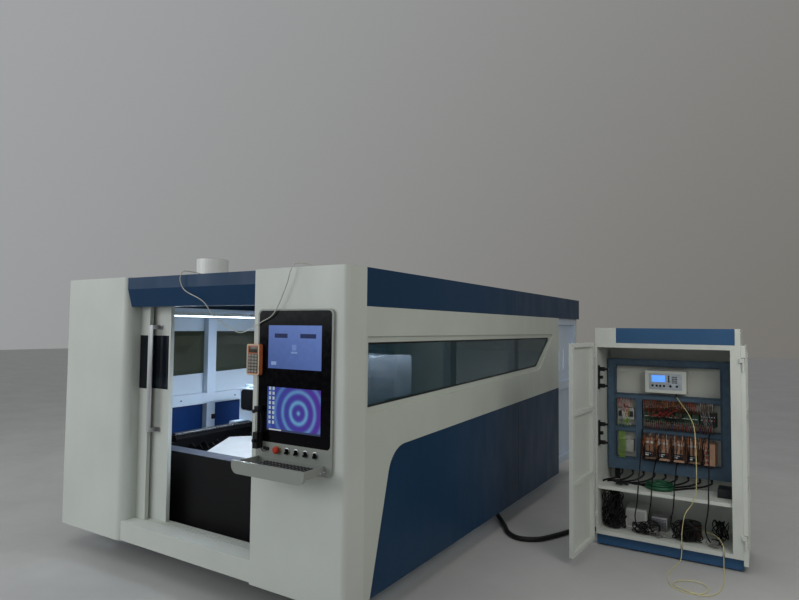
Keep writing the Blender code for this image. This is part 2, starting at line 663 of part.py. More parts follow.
def plate(name, along, outlines, start, end, material, parent=None):
    """Flat outlines, the later ones holes, given thickness from start to end along one axis.

    Outline points are (y, z) along x, (x, z) along y and (x, y) along z.
    """
    curve = bpy.data.curves.new(name + "_outline", "CURVE")
    curve.dimensions = "2D"
    curve.fill_mode = "BOTH"
    curve.extrude = abs(end - start) / 2
    for outline in outlines:
        spline = curve.splines.new("POLY")
        spline.points.add(len(outline) - 1)
        for point, place in zip(spline.points, outline):
            point.co = (place[0], place[1], 0.0, 1.0)
        spline.use_cyclic_u = True
    guide = bpy.data.objects.new(name + "_outline", curve)
    collection.objects.link(guide)
    graph = bpy.context.evaluated_depsgraph_get()
    mesh = bpy.data.meshes.new_from_object(guide.evaluated_get(graph))
    bpy.data.objects.remove(guide, do_unlink=True)
    mesh.name = name
    middle = (start + end) / 2
    position = {"x": (middle, 0, 0), "y": (0, middle, 0), "z": (0, 0, middle)}[along]
    thing = node(name, mesh, position, material, parent)
    thing.rotation_euler = TURNS[along]
    finish_mesh(thing)
    return thing


def turned(name, profile, position, material, parent=None, sides=24, turn=(0.0, 0.0, 0.0)):
    """A profile of (radius, height) points turned about its own Z axis."""
    mesh = bpy.data.meshes.new(name)
    work = bmesh.new()
    corners = [work.verts.new((radius, 0.0, height)) for radius, height in profile]
    for first, second in zip(corners, corners[1:]):
        work.edges.new((first, second))
    if profile[0][0] > 0 and profile[-1][0] > 0:
        work.edges.new((corners[-1], corners[0]))
    work.to_mesh(mesh)
    work.free()
    thing = node(name, mesh, position, material, parent)
    screw = thing.modifiers.new("turn", "SCREW")
    screw.steps = sides
    screw.render_steps = sides
    screw.use_merge_vertices = True
    screw.merge_threshold = SEAT / 10
    screw.use_normal_calculate = True
    bake(thing)
    thing.rotation_euler = turn
    finish_mesh(thing)
    return thing


def bake(thing):
    """Keep a thing's evaluated form as its own mesh."""
    graph = bpy.context.evaluated_depsgraph_get()
    mesh = bpy.data.meshes.new_from_object(thing.evaluated_get(graph))
    thing.modifiers.clear()
    thing.data = mesh


def carve(target, tool, kind="DIFFERENCE"):
    """Cut a tool out of a target, or join it on, with an exact Boolean."""
    collection.objects.unlink(tool)
    cutter_collection.objects.link(tool)
    tool.hide_render = True
    tool.display_type = "WIRE"
    step = target.modifiers.new(kind.lower(), "BOOLEAN")
    step.operation = kind
    step.solver = "EXACT"
    step.object = tool
    return target


def join(target, tool):
    """Join a piece onto its carrier as one body."""
    return carve(target, tool, "UNION")


def soften(thing, width, segments=2):
    """Round the sharp edges of a piece."""
    bevel = thing.modifiers.new("edge", "BEVEL")
    bevel.width = width
    bevel.segments = segments
    bevel.limit_method = "ANGLE"
    bevel.harden_normals = False
    return thing


def rounded(corners, steps=5):
    """An outline from corners of (a, b, radius), each radius turned into an arc."""
    outline = []
    count = len(corners)
    for index, (a, b, radius) in enumerate(corners):
        here = Vector((a, b))
        if radius <= 0:
            outline.append((a, b))
            continue
        before = (Vector(corners[index - 1][:2]) - here).normalized()
        after = (Vector(corners[(index + 1) % count][:2]) - here).normalized()
        half = before.angle(after) / 2
        reach = radius / math.tan(half)
        centre = here + (before + after).normalized() * (radius / math.sin(half))
        start = here + before * reach - centre
        sweep = start.angle_signed(here + after * reach - centre)
        for step in range(steps + 1):
            turn = Matrix.Rotation(-sweep * step / steps, 2)
            point = centre + turn @ start
            outline.append((point.x, point.y))
    return outline


def rectangle(left, low, right, high, radius=0.0, steps=4):
    """A rectangle's outline, with its corners rounded where a radius is given."""
    corners = [(left, low, radius), (right, low, radius), (right, high, radius), (left, high, radius)]
    return rounded(corners, steps)


def mirrored_x(value):
    """The place on the left half that mirrors a place on the right half."""
    return -BODY_WIDTH - value


def span(side, outer, inner):
    """The x limits of a layer that lies between two depths under a side plane."""
    if side == "right":
        return -inner, -outer
    return -BODY_WIDTH + outer, -BODY_WIDTH + inner


def cord(name, route, diameter, sides, count, material, parent=None):
    """A cable along a smooth curve through its route's points, straight at both ends."""
    run = diameter * EXIT_RUN_SHARE
    start, first = Vector(route[0]), Vector(route[1])
    end, last = Vector(route[-1]), Vector(route[-2])
    near_start = start + (first - start).normalized() * run
    near_end = end + (last - end).normalized() * run
    inner = smooth_route([near_start, *route[1:-1], near_end], count)
    lowest = diameter / 2 + SEAT
    for place in inner:
        place.z = max(place.z, lowest)
    points = [start, *inner, end]
    curve = bpy.data.curves.new(name, "CURVE")
    curve.dimensions = "3D"
    curve.bevel_depth = diameter / 2
    curve.bevel_resolution = sides
    curve.use_fill_caps = True
    spline = curve.splines.new("POLY")
    spline.points.add(len(points) - 1)
    for point, place in zip(spline.points, points):
        point.co = (*place, 1.0)
    thing = bpy.data.objects.new(name, curve)
    collection.objects.link(thing)
    curve.materials.append(material)
    attach(thing, (0.0, 0.0, 0.0), parent)
    return thing


def smooth_route(route, count):
    """Points at even steps along a Catmull-Rom curve through the route."""
    knots = [Vector(point) for point in route]
    padded = [2 * knots[0] - knots[1], *knots, 2 * knots[-1] - knots[-2]]
    fine = []
    pieces = 24
    for index in range(1, len(padded) - 2):
        before, start, end, after = padded[index - 1:index + 3]
        for piece in range(pieces):
            t = piece / pieces
            fine.append(0.5 * (2 * start + (end - before) * t
                               + (2 * before - 5 * start + 4 * end - after) * t ** 2
                               + (3 * start - before - 3 * end + after) * t ** 3))
    fine.append(knots[-1])
    lengths = [0.0]
    for first, second in zip(fine, fine[1:]):
        lengths.append(lengths[-1] + (second - first).length)
    points = []
    cursor = 0
    for step in range(count):
        goal = lengths[-1] * step / (count - 1)
        while cursor < len(fine) - 2 and lengths[cursor + 1] < goal:
            cursor += 1
        share = (goal - lengths[cursor]) / (lengths[cursor + 1] - lengths[cursor])
        points.append(fine[cursor].lerp(fine[cursor + 1], share))
    return points


DOORWAY_LEFT = -BODY_WIDTH + LEFT_FACE_WIDTH
DOORWAY_RIGHT = -COLUMN_WIDTH


def front_columns():
    """The two folded housings that stand at the front corners."""
    right = rounded([
        (DOORWAY_RIGHT, 0.0, 0.0),
        (0.0, 0.0, COLUMN_ROUND),
        (0.0, COLUMN_DEPTH, 0.0),
        (DOORWAY_RIGHT, COLUMN_DEPTH, 0.0),
    ], 6)
    plate("right_front_column", "z", [right], COLUMN_BOTTOM, ROOF_TOP, OFF_WHITE)
    left = rounded([
        (-BODY_WIDTH, 0.0, COLUMN_ROUND / 2),
        (DOORWAY_LEFT, 0.0, LEFT_RETURN_ROUND),
        (DOORWAY_LEFT, LEFT_RETURN_DEPTH, 0.0),
        (-BODY_WIDTH + LEFT_WALL, LEFT_RETURN_DEPTH, 0.0),
        (-BODY_WIDTH + LEFT_WALL, COLUMN_DEPTH, 0.0),
        (-BODY_WIDTH, COLUMN_DEPTH, 0.0),
    ], 6)
    column = plate("left_front_column", "z", [left], COLUMN_BOTTOM, ROOF_TOP, OFF_WHITE)
    cap = block(
        "left_column_cap",
        (-BODY_WIDTH + LEFT_WALL / 2, LEFT_RETURN_DEPTH - OVERRUN, ROOF_TOP - LEFT_CAP_HEIGHT),
        (DOORWAY_LEFT - CAP_INSET, COLUMN_DEPTH - CAP_INSET, ROOF_TOP - CAP_INSET),
        OFF_WHITE,
    )
    join(column, cap)


def groove(name, middle_y, low, high, left, right):
    """A cutter for one guide groove."""
    return block(
        name,
        (left, middle_y - GROOVE_WIDTH / 2, low),
        (right, middle_y + GROOVE_WIDTH / 2, high),
        STEEL,
    )


def leaf_middles():
    """The y of the two leaves' middle planes."""
    return SLOW_LEAF_Y + LEAF_WALL / 2, FAST_LEAF_Y + LEAF_WALL / 2


def lintel_and_sill():
    """The blue lintel with the door's top track, and the sill with its grooves."""
    left = DOORWAY_LEFT + SEAT
    right = DOORWAY_RIGHT - SEAT
    track_left = TRACK_END_GAP - BODY_WIDTH
    profile = [
        (0.0, LINTEL_TOP),
        (0.0, LINTEL_FOLD),
        (LINTEL_SLOPE, LINTEL_BOTTOM),
        (LINTEL_DEPTH, LINTEL_BOTTOM),
        (LINTEL_DEPTH, LINTEL_TOP - LINTEL_FLANGE),
        (COLUMN_DEPTH, LINTEL_TOP - LINTEL_FLANGE),
        (COLUMN_DEPTH, LINTEL_TOP),
    ]
    lintel = plate("front_lintel", "x", [profile], left, right, NAVY)
    track = block(
        "door_track",
        (track_left, SLOW_LEAF_Y, TRACK_BOTTOM),
        (right, TRACK_DEPTH, TRACK_BOTTOM + TRACK_HEIGHT),
        NAVY,
    )
    web = block(
        "track_web",
        (left, LINTEL_DEPTH - OVERRUN / 2, TRACK_BOTTOM),
        (right, SLOW_LEAF_Y + OVERRUN / 2, TRACK_BOTTOM + TRACK_HEIGHT / 2),
        NAVY,
    )
    join(lintel, track)
    join(lintel, web)
    sill = block("door_sill", (left, 0.0, SILL_BOTTOM), (right, SLOW_LEAF_Y - SEAT, SILL_TOP), OFF_WHITE)
    run = block(
        "sill_track",
        (track_left, SLOW_LEAF_Y, SILL_BOTTOM),
        (right, TRACK_DEPTH, SILL_TOP),
        OFF_WHITE,
    )
    lap = block(
        "sill_lap",
        (left, SLOW_LEAF_Y - OVERRUN, SILL_BOTTOM),
        (right, SLOW_LEAF_Y + OVERRUN, SILL_TOP - GROOVE_DEPTH),
        OFF_WHITE,
    )
    join(sill, run)
    join(sill, lap)
    for number, middle in enumerate(leaf_middles()):
        low = groove(
            f"sill_groove_{number}", middle,
            SILL_TOP - GROOVE_DEPTH, SILL_TOP + OVERRUN,
            track_left - OVERRUN, right + OVERRUN,
        )
        high = groove(
            f"track_groove_{number}", middle,
            TRACK_BOTTOM - OVERRUN, TRACK_BOTTOM + GROOVE_DEPTH,
            track_left - OVERRUN, right + OVERRUN,
        )
        carve(sill, low)
        carve(lintel, high)


def door_leaf(name, window_name, edge, front, parent):
    """One sliding leaf with its guide tongues, and its pane set flush in a rebate."""
    left = edge - LEAF_WIDTH
    low = SILL_TOP + SEAT
    high = TRACK_BOTTOM - SEAT
    sight = (left + LEAF_STILE, LEAF_WINDOW_LOW, edge - LEAF_STILE, LEAF_WINDOW_HIGH)
    lap = GLASS_LAP
    seat_outline = (sight[0] - lap, sight[1] - lap, sight[2] + lap, sight[3] + lap)
    leaf = plate(
        name, "y",
        [rectangle(left, low, edge, high), rectangle(*sight)],
        front, front + LEAF_WALL, OFF_WHITE, parent,
    )
    rebate = plate(
        name + "_rebate", "y", [rectangle(*seat_outline)],
        front - OVERRUN, front + LEAF_GLASS_WALL + SEAT, OFF_WHITE, parent,
    )
    carve(leaf, rebate)
    middle = front + LEAF_WALL / 2
    for label, tongue_low, tongue_high in (
        ("low", low - TONGUE_LENGTH, low + OVERRUN),
        ("high", high - OVERRUN, high + TONGUE_LENGTH),
    ):
        tongue = block(
            f"{name}_{label}_tongue",
            (left + LEAF_STILE, middle - TONGUE_WIDTH / 2, tongue_low),
            (edge - LEAF_STILE, middle + TONGUE_WIDTH / 2, tongue_high),
            OFF_WHITE, parent,
        )
        join(leaf, tongue)
    plate(
        window_name, "y",
        [rectangle(
            seat_outline[0] + SEAT, seat_outline[1] + SEAT,
            seat_outline[2] - SEAT, seat_outline[3] - SEAT,
        )],
        front, front + LEAF_GLASS_WALL, SMOKED, parent,
    )


def sliding_door():
    """Two leaves that telescope to the left, and the pull bar on the fast one."""
    slow = axis_at("door_slow_axis", (SLOW_LEAF_EDGE, SLOW_LEAF_Y, SILL_TOP))
    fast = axis_at("door_fast_axis", (FAST_LEAF_EDGE, FAST_LEAF_Y, SILL_TOP))
    door_leaf("door_leaf_slow", "door_window_slow", SLOW_LEAF_EDGE, SLOW_LEAF_Y, slow)
    door_leaf("door_leaf_fast", "door_window_fast", FAST_LEAF_EDGE, FAST_LEAF_Y, fast)
    right = FAST_LEAF_EDGE - HANDLE_INSET
    left = right - HANDLE_WIDTH
    back = FAST_LEAF_Y - SEAT
    bar = block(
        "door_handle",
        (left, HANDLE_FRONT, HANDLE_LOW),
        (right, HANDLE_FRONT + HANDLE_WALL, HANDLE_HIGH),
        STEEL, fast,
    )
    for label, low in (("low", HANDLE_LOW), ("high", HANDLE_HIGH - HANDLE_FOOT_HEIGHT)):
        strut = plate(
            f"handle_{label}_strut", "z",
            [[
                (right - HANDLE_WALL, HANDLE_FRONT + HANDLE_WALL / 2),
                (right, HANDLE_FRONT + HANDLE_WALL / 2),
                (right, back - HANDLE_WALL),
                (right + HANDLE_FOOT_REACH, back - HANDLE_WALL),
                (right + HANDLE_FOOT_REACH, back),
                (right - HANDLE_WALL, back),
            ]],
            low, low + HANDLE_FOOT_HEIGHT, STEEL, fast,
        )
        join(bar, strut)


def window_corners(margin=0.0, rear_margin=0.0):
    """The tapered side window's corners, drawn in by a margin."""
    fall = (WINDOW_REAR_LOW_Z - WINDOW_FRONT_LOW_Z) / (WINDOW_REAR_LOW_Y - WINDOW_FRONT_Y)
    low_rear_y = WINDOW_REAR_LOW_Y - rear_margin * 0.6
    return [
        (WINDOW_FRONT_Y + SEAM * (margin > 0), WINDOW_TOP_Z - margin, 0.0),
        (WINDOW_FRONT_Y + SEAM * (margin > 0), WINDOW_FRONT_LOW_Z + margin, 0.0),
        (low_rear_y, WINDOW_REAR_LOW_Z + margin - fall * rear_margin, WINDOW_ROUND - margin),
        (WINDOW_REAR_TOP_Y - rear_margin, WINDOW_TOP_Z - margin, WINDOW_EDGE_ROUND),
    ]


def side_wall(side, rear, glass):
    """The white upper panel, its pane and the blue lower panel of one side."""
    front = COLUMN_DEPTH + SEAT
    outer, inner = 0.0, PANEL_WALL
    rise = (BELT_REAR_Z - KNEE_Z) / (BAY_START - KNEE_Y)
    belt_rear = KNEE_Z + rise * (rear - KNEE_Y)
    upper = rounded([
        (front, SKIRT_BOTTOM, 0.0),
        (TOE_Y - SEAM, SKIRT_BOTTOM, 0.0),
        (KNEE_Y - SEAM, KNEE_Z + SEAM, KNEE_ROUND + SEAM),
        (rear, belt_rear + SEAM, 0.0),
        (rear, BAND_BOTTOM - SEAT, 0.0),
        (front, BAND_BOTTOM - SEAT, 0.0),
    ], 8)
    sight = rounded(window_corners(SIGHT_MARGIN, SIGHT_REAR_MARGIN), 5)
    low, high = span(side, outer, inner)
    panel = plate(f"{side}_side_panel", "x", [upper, sight], low, high, OFF_WHITE)
    recess_low, recess_high = span(side, outer - OVERRUN, RECESS_DEPTH)
    recess = plate(
        f"{side}_recess", "x", [rounded(window_corners(), 5)], recess_low, recess_high, OFF_WHITE,
    )
    carve(panel, recess)
    lower = rounded([
        (TOE_Y, SKIRT_BOTTOM, 0.0),
        (rear, SKIRT_BOTTOM, 0.0),
        (rear, belt_rear, 0.0),
        (KNEE_Y, KNEE_Z, KNEE_ROUND),
    ], 8)
    skirt = plate(f"{side}_lower_panel", "x", [lower], low, high, NAVY)
    joint_low, joint_high = span(side, -OVERRUN, SHEET_JOINT_DEPTH)
    joint = block(
        f"{side}_sheet_joint",
        (joint_low, SHEET_JOINT_Y - SEAM / 2, SKIRT_BOTTOM - OVERRUN),
        (joint_high, SHEET_JOINT_Y + SEAM / 2, BELT_REAR_Z + OVERRUN),
        NAVY,
    )
    carve(skirt, joint)
    glass_low, glass_high = span(side, PANEL_WALL + SEAT, PANEL_WALL + SEAT + GLASS_WALL)
    pane = [
        (front + GLASS_LAP, WINDOW_TOP_Z),
        (front + GLASS_LAP, WINDOW_FRONT_LOW_Z + GLASS_LAP),
        (WINDOW_REAR_LOW_Y + GLASS_LAP, WINDOW_REAR_LOW_Z),
        (WINDOW_REAR_TOP_Y - GLASS_LAP, WINDOW_TOP_Z),
    ]
    plate(f"{side}_side_window", "x", [pane], glass_low, glass_high, glass)


def frame_posts():
    """The y limits of the side frame's posts, front to rear."""
    half = FRAME_POST_WIDTH / 2
    front = COLUMN_DEPTH + SEAT
    return [
        (front, front + FRAME_END_POST),
        (FRAME_FIRST_POST_Y - half, FRAME_FIRST_POST_Y + half),
        (FRAME_SECOND_POST_Y - half, FRAME_SECOND_POST_Y + half),
        (BAY_START - FRAME_END_POST, BAY_START),
    ]


def inner_frame(side):
    """The welded frame of posts and rails that stands inside one side wall."""
    posts = frame_posts()
    skin = PANEL_WALL + GLASS_WALL + 2 * SEAT
    low, high = span(side, skin, skin + FRAME_DEPTH)
    frame = block(
        f"inner_frame_{side}",
        (low, posts[0][0], SKIRT_BOTTOM),
        (high, posts[-1][1], FRAME_TOP_HIGH),
        BAY_WHITE,
    )
    rows = [(SKIRT_BOTTOM + FRAME_FOOT_HEIGHT, FRAME_MID_LOW), (FRAME_MID_HIGH, FRAME_TOP_LOW)]
    for number, (before, after) in enumerate(zip(posts, posts[1:])):
        for row, (bay_low, bay_high) in enumerate(rows):
            bay = block(
                f"{side}_frame_bay_{number}_{row}",
                (low - OVERRUN, before[1], bay_low),
                (high + OVERRUN, after[0], bay_high),
                BAY_WHITE,
            )
            carve(frame, bay)
    seat_low, seat_high = span(side, PANEL_WALL + SEAT, skin + PAD_INSET)
    for label, rail_low, rail_high in (
        ("foot", SKIRT_BOTTOM, SKIRT_BOTTOM + FRAME_FOOT_HEIGHT),
        ("middle", FRAME_MID_LOW, FRAME_MID_HIGH),
        ("top", FRAME_TOP_LOW, BAND_BOTTOM),
    ):
        pad = block(
            f"{side}_{label}_pad",
            (seat_low, posts[0][0] + PAD_INSET, rail_low + PAD_INSET),
            (seat_high, posts[-1][1] - PAD_INSET, rail_high - PAD_INSET),
            BAY_WHITE,
        )
        join(frame, pad)


def roof():
    """The roof sheet folded down over both sides, and the fume duct's collar."""
    profile = [
        (-BODY_WIDTH, BAND_BOTTOM),
        (-BODY_WIDTH + ROOF_WALL, BAND_BOTTOM),
        (-BODY_WIDTH + ROOF_WALL, ROOF_TOP - ROOF_WALL),
        (-ROOF_WALL, ROOF_TOP - ROOF_WALL),
        (-ROOF_WALL, BAND_BOTTOM),
        (0.0, BAND_BOTTOM),
        (0.0, ROOF_TOP),
        (-BODY_WIDTH, ROOF_TOP),
    ]
    cover = plate("roof_cover", "y", [profile], COLUMN_DEPTH + SEAT, BODY_LENGTH, NAVY)
    for label, outer in (("right", 0.0), ("left", -BODY_WIDTH)):
        joint = block(
            f"roof_{label}_joint",
            (outer - SHEET_JOINT_DEPTH, SHEET_JOINT_Y - SEAM / 2, BAND_BOTTOM - OVERRUN),
            (outer + SHEET_JOINT_DEPTH, SHEET_JOINT_Y + SEAM / 2, ROOF_TOP - ROOF_WALL),
            NAVY,
        )
        carve(cover, joint)
    inner = DUCT_RADIUS - DUCT_WALL
    bore = turned(
        "roof_bore",
        [(0.0, ROOF_WALL + OVERRUN), (inner, ROOF_WALL + OVERRUN), (inner, -OVERRUN), (0.0, -OVERRUN)],
        (DUCT_X, DUCT_Y, ROOF_TOP - ROOF_WALL), NAVY,
    )
    carve(cover, bore)
    base = ROOF_TOP + SEAT
    turned(
        "roof_duct",
        [
            (DUCT_RADIUS, DUCT_TOP - base),
            (DUCT_RADIUS, DUCT_FLANGE_WALL),
            (DUCT_RADIUS + DUCT_FLANGE, DUCT_FLANGE_WALL),
            (DUCT_RADIUS + DUCT_FLANGE, 0.0),
            (inner, 0.0),
            (inner, DUCT_TOP - base),
        ],
        (DUCT_X, DUCT_Y, base), OFF_WHITE, sides=32,
    )


def rear_wall_and_bay():
    """The closing panel at the rear, and the service bay at the right rear."""
    inner = PANEL_WALL + SEAT
    block(
        "rear_panel",
        (-BODY_WIDTH + inner, BODY_LENGTH - REAR_WALL, SKIRT_BOTTOM),
        (-inner, BODY_LENGTH, ROOF_TOP - ROOF_WALL - SEAT),
        OFF_WHITE,
    )
    front = BAY_START + SEAT
    rear = BODY_LENGTH - REAR_WALL - SEAT
    top = BAND_BOTTOM - SEAT
    outlines = [
        rectangle(front, BAY_BOTTOM, rear, top),
        rectangle(front + BAY_STILE, BAY_BOTTOM + BAY_RAIL, rear - BAY_STILE, BAY_LEDGE_LOW),
        rectangle(front + BAY_STILE, BAY_LEDGE_HIGH, rear - BAY_STILE, top - BAY_RAIL),
    ]
    low, high = span("right", BAY_INSET, BAY_INSET + BAY_FRAME_DEPTH)
    plate("rear_bay_frame", "x", outlines, low, high, BAY_WHITE)
    slots = []
    for number in range(2):
        middle = BAY_FIRST_SLOT_Y + number * BAY_SLOT_PITCH
        left = middle - BAY_SLOT_WIDTH / 2
        slots.append(rectangle(left, BAY_SLOT_LOW, left + BAY_SLOT_WIDTH, BAY_SLOT_HIGH))
    skin = BAY_INSET + BAY_FRAME_DEPTH + SEAT
    low, high = span("right", skin, skin + BAY_SHEET)
    plate(
        "rear_bay_panel", "x",
        [rectangle(front, BAY_BOTTOM, rear, top), *slots], low, high, BAY_WHITE,
    )


def bed_limits():
    """The bed's outer x limits and its trough's x limits."""
    right = -BED_SIDE
    left = mirrored_x(right)
    return left, right, left + BED_BEAM, right - BED_BEAM


def machine_bed():
    """The welded bed: beams round a trough, feet, rails, guards and the enclosure's brackets."""
    left, right, trough_left, trough_right = bed_limits()
    trough_front = BED_FRONT + BED_FRONT_BEAM
    trough_rear = BED_REAR - BED_REAR_BEAM
    bed = block("bed_frame", (left, BED_FRONT, BED_BOTTOM), (right, BED_REAR, BED_TOP), BED_BLACK)
    well = block(
        "table_well",
        (trough_left, trough_front, TABLE_LEDGE_Z),
        (trough_right, trough_rear, BED_TOP + OVERRUN),
        BED_BLACK,
    )
    trough = block(
        "scrap_trough",
        (trough_left + TABLE_LEDGE, trough_front + TABLE_LEDGE, BED_BOTTOM + BED_PAN),
        (trough_right - TABLE_LEDGE, trough_rear - TABLE_LEDGE, TABLE_LEDGE_Z + OVERRUN),
        BED_BLACK,
    )
    carve(bed, well)
    carve(bed, trough)
    frame_inner = PANEL_WALL + GLASS_WALL + 2 * SEAT + FRAME_DEPTH + SEAT
    pitch = (BED_REAR - BED_FRONT - 2 * FOOT_INSET) / (FOOT_ROW_COUNT - 1)
    for row in range(FOOT_ROW_COUNT):
        y = BED_FRONT + FOOT_INSET + row * pitch
        for label, x in (("left", left + FOOT_INSET), ("right", right - FOOT_INSET)):
            foot = turned(
                f"foot_{label}_{row}",
                [
                    (0.0, BED_BOTTOM + OVERRUN),
                    (FOOT_RADIUS / 2, BED_BOTTOM + OVERRUN),
                    (FOOT_RADIUS / 2, FOOT_RADIUS / 2),
                    (FOOT_RADIUS, FOOT_RADIUS / 3),
                    (FOOT_RADIUS, 0.0),
                    (0.0, 0.0),
                ],
                (x, y, 0.0), BED_BLACK, sides=10,
            )
            join(bed, foot)
    for label, outer, sign in (("left", left, 1.0), ("right", right, -1.0)):
        rail_edges = sorted((outer + sign * RAIL_FROM_EDGE, outer + sign * (RAIL_FROM_EDGE + RAIL_WIDTH)))
        rail = block(
            f"rail_{label}",
            (rail_edges[0], RAIL_START, BED_TOP - OVERRUN),
            (rail_edges[1], RAIL_END, BED_TOP + RAIL_HEIGHT),
            BED_BLACK,
        )
        join(bed, rail)
        inner = outer + sign * BED_BEAM
        guard = plate(
            f"guard_{label}", "y",
            [[
                (inner - sign * GUARD_WIDTH, BED_TOP - OVERRUN),
                (inner, BED_TOP - OVERRUN),
                (inner, BED_TOP + GUARD_SLOPE),
                (inner - sign * GUARD_SLOPE, BED_TOP + GUARD_HEIGHT),
                (inner - sign * GUARD_WIDTH, BED_TOP + GUARD_HEIGHT),
            ]],
            GUARD_START, GUARD_END, BED_BLACK,
        )
        join(bed, guard)
        wall = -frame_inner if label == "right" else -BODY_WIDTH + frame_inner
        edges = sorted((wall, outer + sign * OVERRUN))
        for post in frame_posts()[:3]:
            y = (post[0] + post[1]) / 2 + FRAME_POST_WIDTH * (post[0] < TOE_Y)
            bracket = block(
                f"bracket_{label}_{round(y * 100)}",
                (edges[0], y - BRACKET_WIDTH / 2, BED_BOTTOM + OVERRUN / 4),
                (edges[1], y + BRACKET_WIDTH / 2, BED_BOTTOM + BRACKET_HEIGHT),
                BED_BLACK,
            )
            join(bed, bracket)


def slat_table():
    """The carrier frame with its row of toothed slats, and the blank that lies on it."""
    _, _, trough_left, trough_right = bed_limits()
    left = trough_left + SEAT
    right = trough_right - SEAT
    front = BED_FRONT + BED_FRONT_BEAM + SEAT
    rear = front + TABLE_LENGTH
    table = plate(
        "slat_table", "z",
        [
            rectangle(left, front, right, rear),
            rectangle(left + TABLE_RAIL, front + TABLE_RAIL, right - TABLE_RAIL, rear - TABLE_RAIL),
        ],
        TABLE_LEDGE_Z + SEAT, TABLE_RAIL_TOP, BED_BLACK,
    )
    slat_left = left + TABLE_RAIL - SLAT_GRIP
    slat_right = right - TABLE_RAIL + SLAT_GRIP
    pitch = (rear - front - 2 * TABLE_RAIL) / (SLAT_COUNT + 1)
    tooth = (slat_right - slat_left) / TOOTH_COUNT
    outline = [(slat_left, SLAT_LOW), (slat_right, SLAT_LOW)]
    for index in range(TOOTH_COUNT, 0, -1):
        outline.append((slat_left + index * tooth, SLAT_TOP - TOOTH_DEPTH))
        outline.append((slat_left + (index - 0.5) * tooth, SLAT_TOP))
    outline.append((slat_left, SLAT_TOP - TOOTH_DEPTH))
    for number in range(SLAT_COUNT):
        y = front + TABLE_RAIL + (number + 1) * pitch
        slat = plate(f"slat_{number}", "y", [outline], y, y + SLAT_WALL, BED_BLACK)
        join(table, slat)
    blank = [
        (BLANK_CORNER_X, BLANK_FRONT_Y),
        (BLANK_RIGHT_X, BLANK_FRONT_Y),
        (BLANK_RIGHT_X, BLANK_REAR_Y),
        (BLANK_CORNER_X, BLANK_REAR_Y),
        (BLANK_LEFT_X, BLANK_SIDE_Y),
    ]
    low = SLAT_TOP + SEAT
    plate("sheet_blank", "z", [blank], low, low + BLANK_WALL, OFF_WHITE)


def gantry_drive(beam, label, end, sign, axis):
    """The gearbox on one end of the beam, with its motor standing on it."""
    middle = GANTRY_Y + GANTRY_DEPTH / 2
    low = GANTRY_LOW + GEARBOX_LIFT
    top = low + GEARBOX_HEIGHT
    edges = sorted((end - sign * OVERRUN, end + sign * GEARBOX_REACH))
    box = block(
        f"gearbox_{label}",
        (edges[0], middle - GEARBOX_LENGTH / 2, low),
        (edges[1], middle + GEARBOX_LENGTH / 2, top),
        BAY_WHITE, axis,
    )
    soften(box, SEAM)
    join(beam, box)
    cap = MOTOR_HEIGHT * MOTOR_CAP_SHARE
    motor = turned(
        f"motor_{label}",
        [
            (0.0, MOTOR_HEIGHT),
            (MOTOR_RADIUS - SEAM, MOTOR_HEIGHT),
            (MOTOR_RADIUS - SEAM, cap),
            (MOTOR_RADIUS, cap),
            (MOTOR_RADIUS, -OVERRUN),
            (0.0, -OVERRUN),
        ],
        (end + sign * (GEARBOX_REACH - MOTOR_RADIUS - SEAM), middle, top), BAY_WHITE, axis, sides=16,
    )
    join(beam, motor)


def gantry():
    """The travelling beam on its two legs, with the black cover along its front."""
    axis = axis_at("gantry_axis", (mirrored_x(0.0) / 2, GANTRY_Y, BED_TOP))
    right = -GANTRY_SIDE
    left = mirrored_x(right)
    rear = GANTRY_Y + GANTRY_DEPTH
    beam = block("gantry_beam", (left, GANTRY_Y, GANTRY_LOW), (right, rear, GANTRY_TOP), BAY_WHITE, axis)
    rear_rail = rear - TOP_RAIL_INSET - TOP_RAIL_WIDTH
    for label, y in (("front", GANTRY_Y + TOP_RAIL_INSET), ("rear", rear_rail)):
        rail = block(
            f"beam_rail_{label}",
            (left + TOP_RAIL_INSET, y, GANTRY_TOP - OVERRUN),
            (right - TOP_RAIL_INSET, y + TOP_RAIL_WIDTH, GANTRY_TOP + TOP_RAIL_HEIGHT),
            BAY_WHITE, axis,
        )
        join(beam, rail)
    bed_left, bed_right, _, _ = bed_limits()
    leg_start = GANTRY_Y + GANTRY_DEPTH / 2 - LEG_LENGTH / 2
    for label, edges, bed_edge, sign in (
        ("left", (left, left + LEG_WIDTH), bed_left, 1.0),
        ("right", (right - LEG_WIDTH, right), bed_right, -1.0),
    ):
        leg = block(
            f"leg_{label}",
            (edges[0], leg_start, LEG_BOTTOM),
            (edges[1], leg_start + LEG_LENGTH, GANTRY_LOW + LEG_LAP),
            BAY_WHITE, axis,
        )
        rail_edges = sorted((
            bed_edge + sign * RAIL_FROM_EDGE,
            bed_edge + sign * (RAIL_FROM_EDGE + RAIL_WIDTH),
        ))
        slot = block(
            f"leg_{label}_slot",
            (rail_edges[0] - SEAT, leg_start - OVERRUN, LEG_BOTTOM - OVERRUN),
            (rail_edges[1] + SEAT, leg_start + LEG_LENGTH + OVERRUN, BED_TOP + RAIL_HEIGHT + SEAT),
            BAY_WHITE, axis,
        )
        join(beam, leg)
        carve(beam, slot)
    for label, end, sign in (("left", left, -1.0), ("right", right, 1.0)):
        gantry_drive(beam, label, end, sign, axis)
    plate(
        "gantry_front_cover", "y",
        [rectangle(
            left + FRONT_COVER_INSET, FRONT_COVER_LOW, right - FRONT_COVER_INSET, FRONT_COVER_TOP,
            FRONT_COVER_ROUND,
        )],
        GANTRY_Y - SEAT - FRONT_COVER_WALL, GANTRY_Y - SEAT, BLACK_PLASTIC, axis,
    )
    return axis


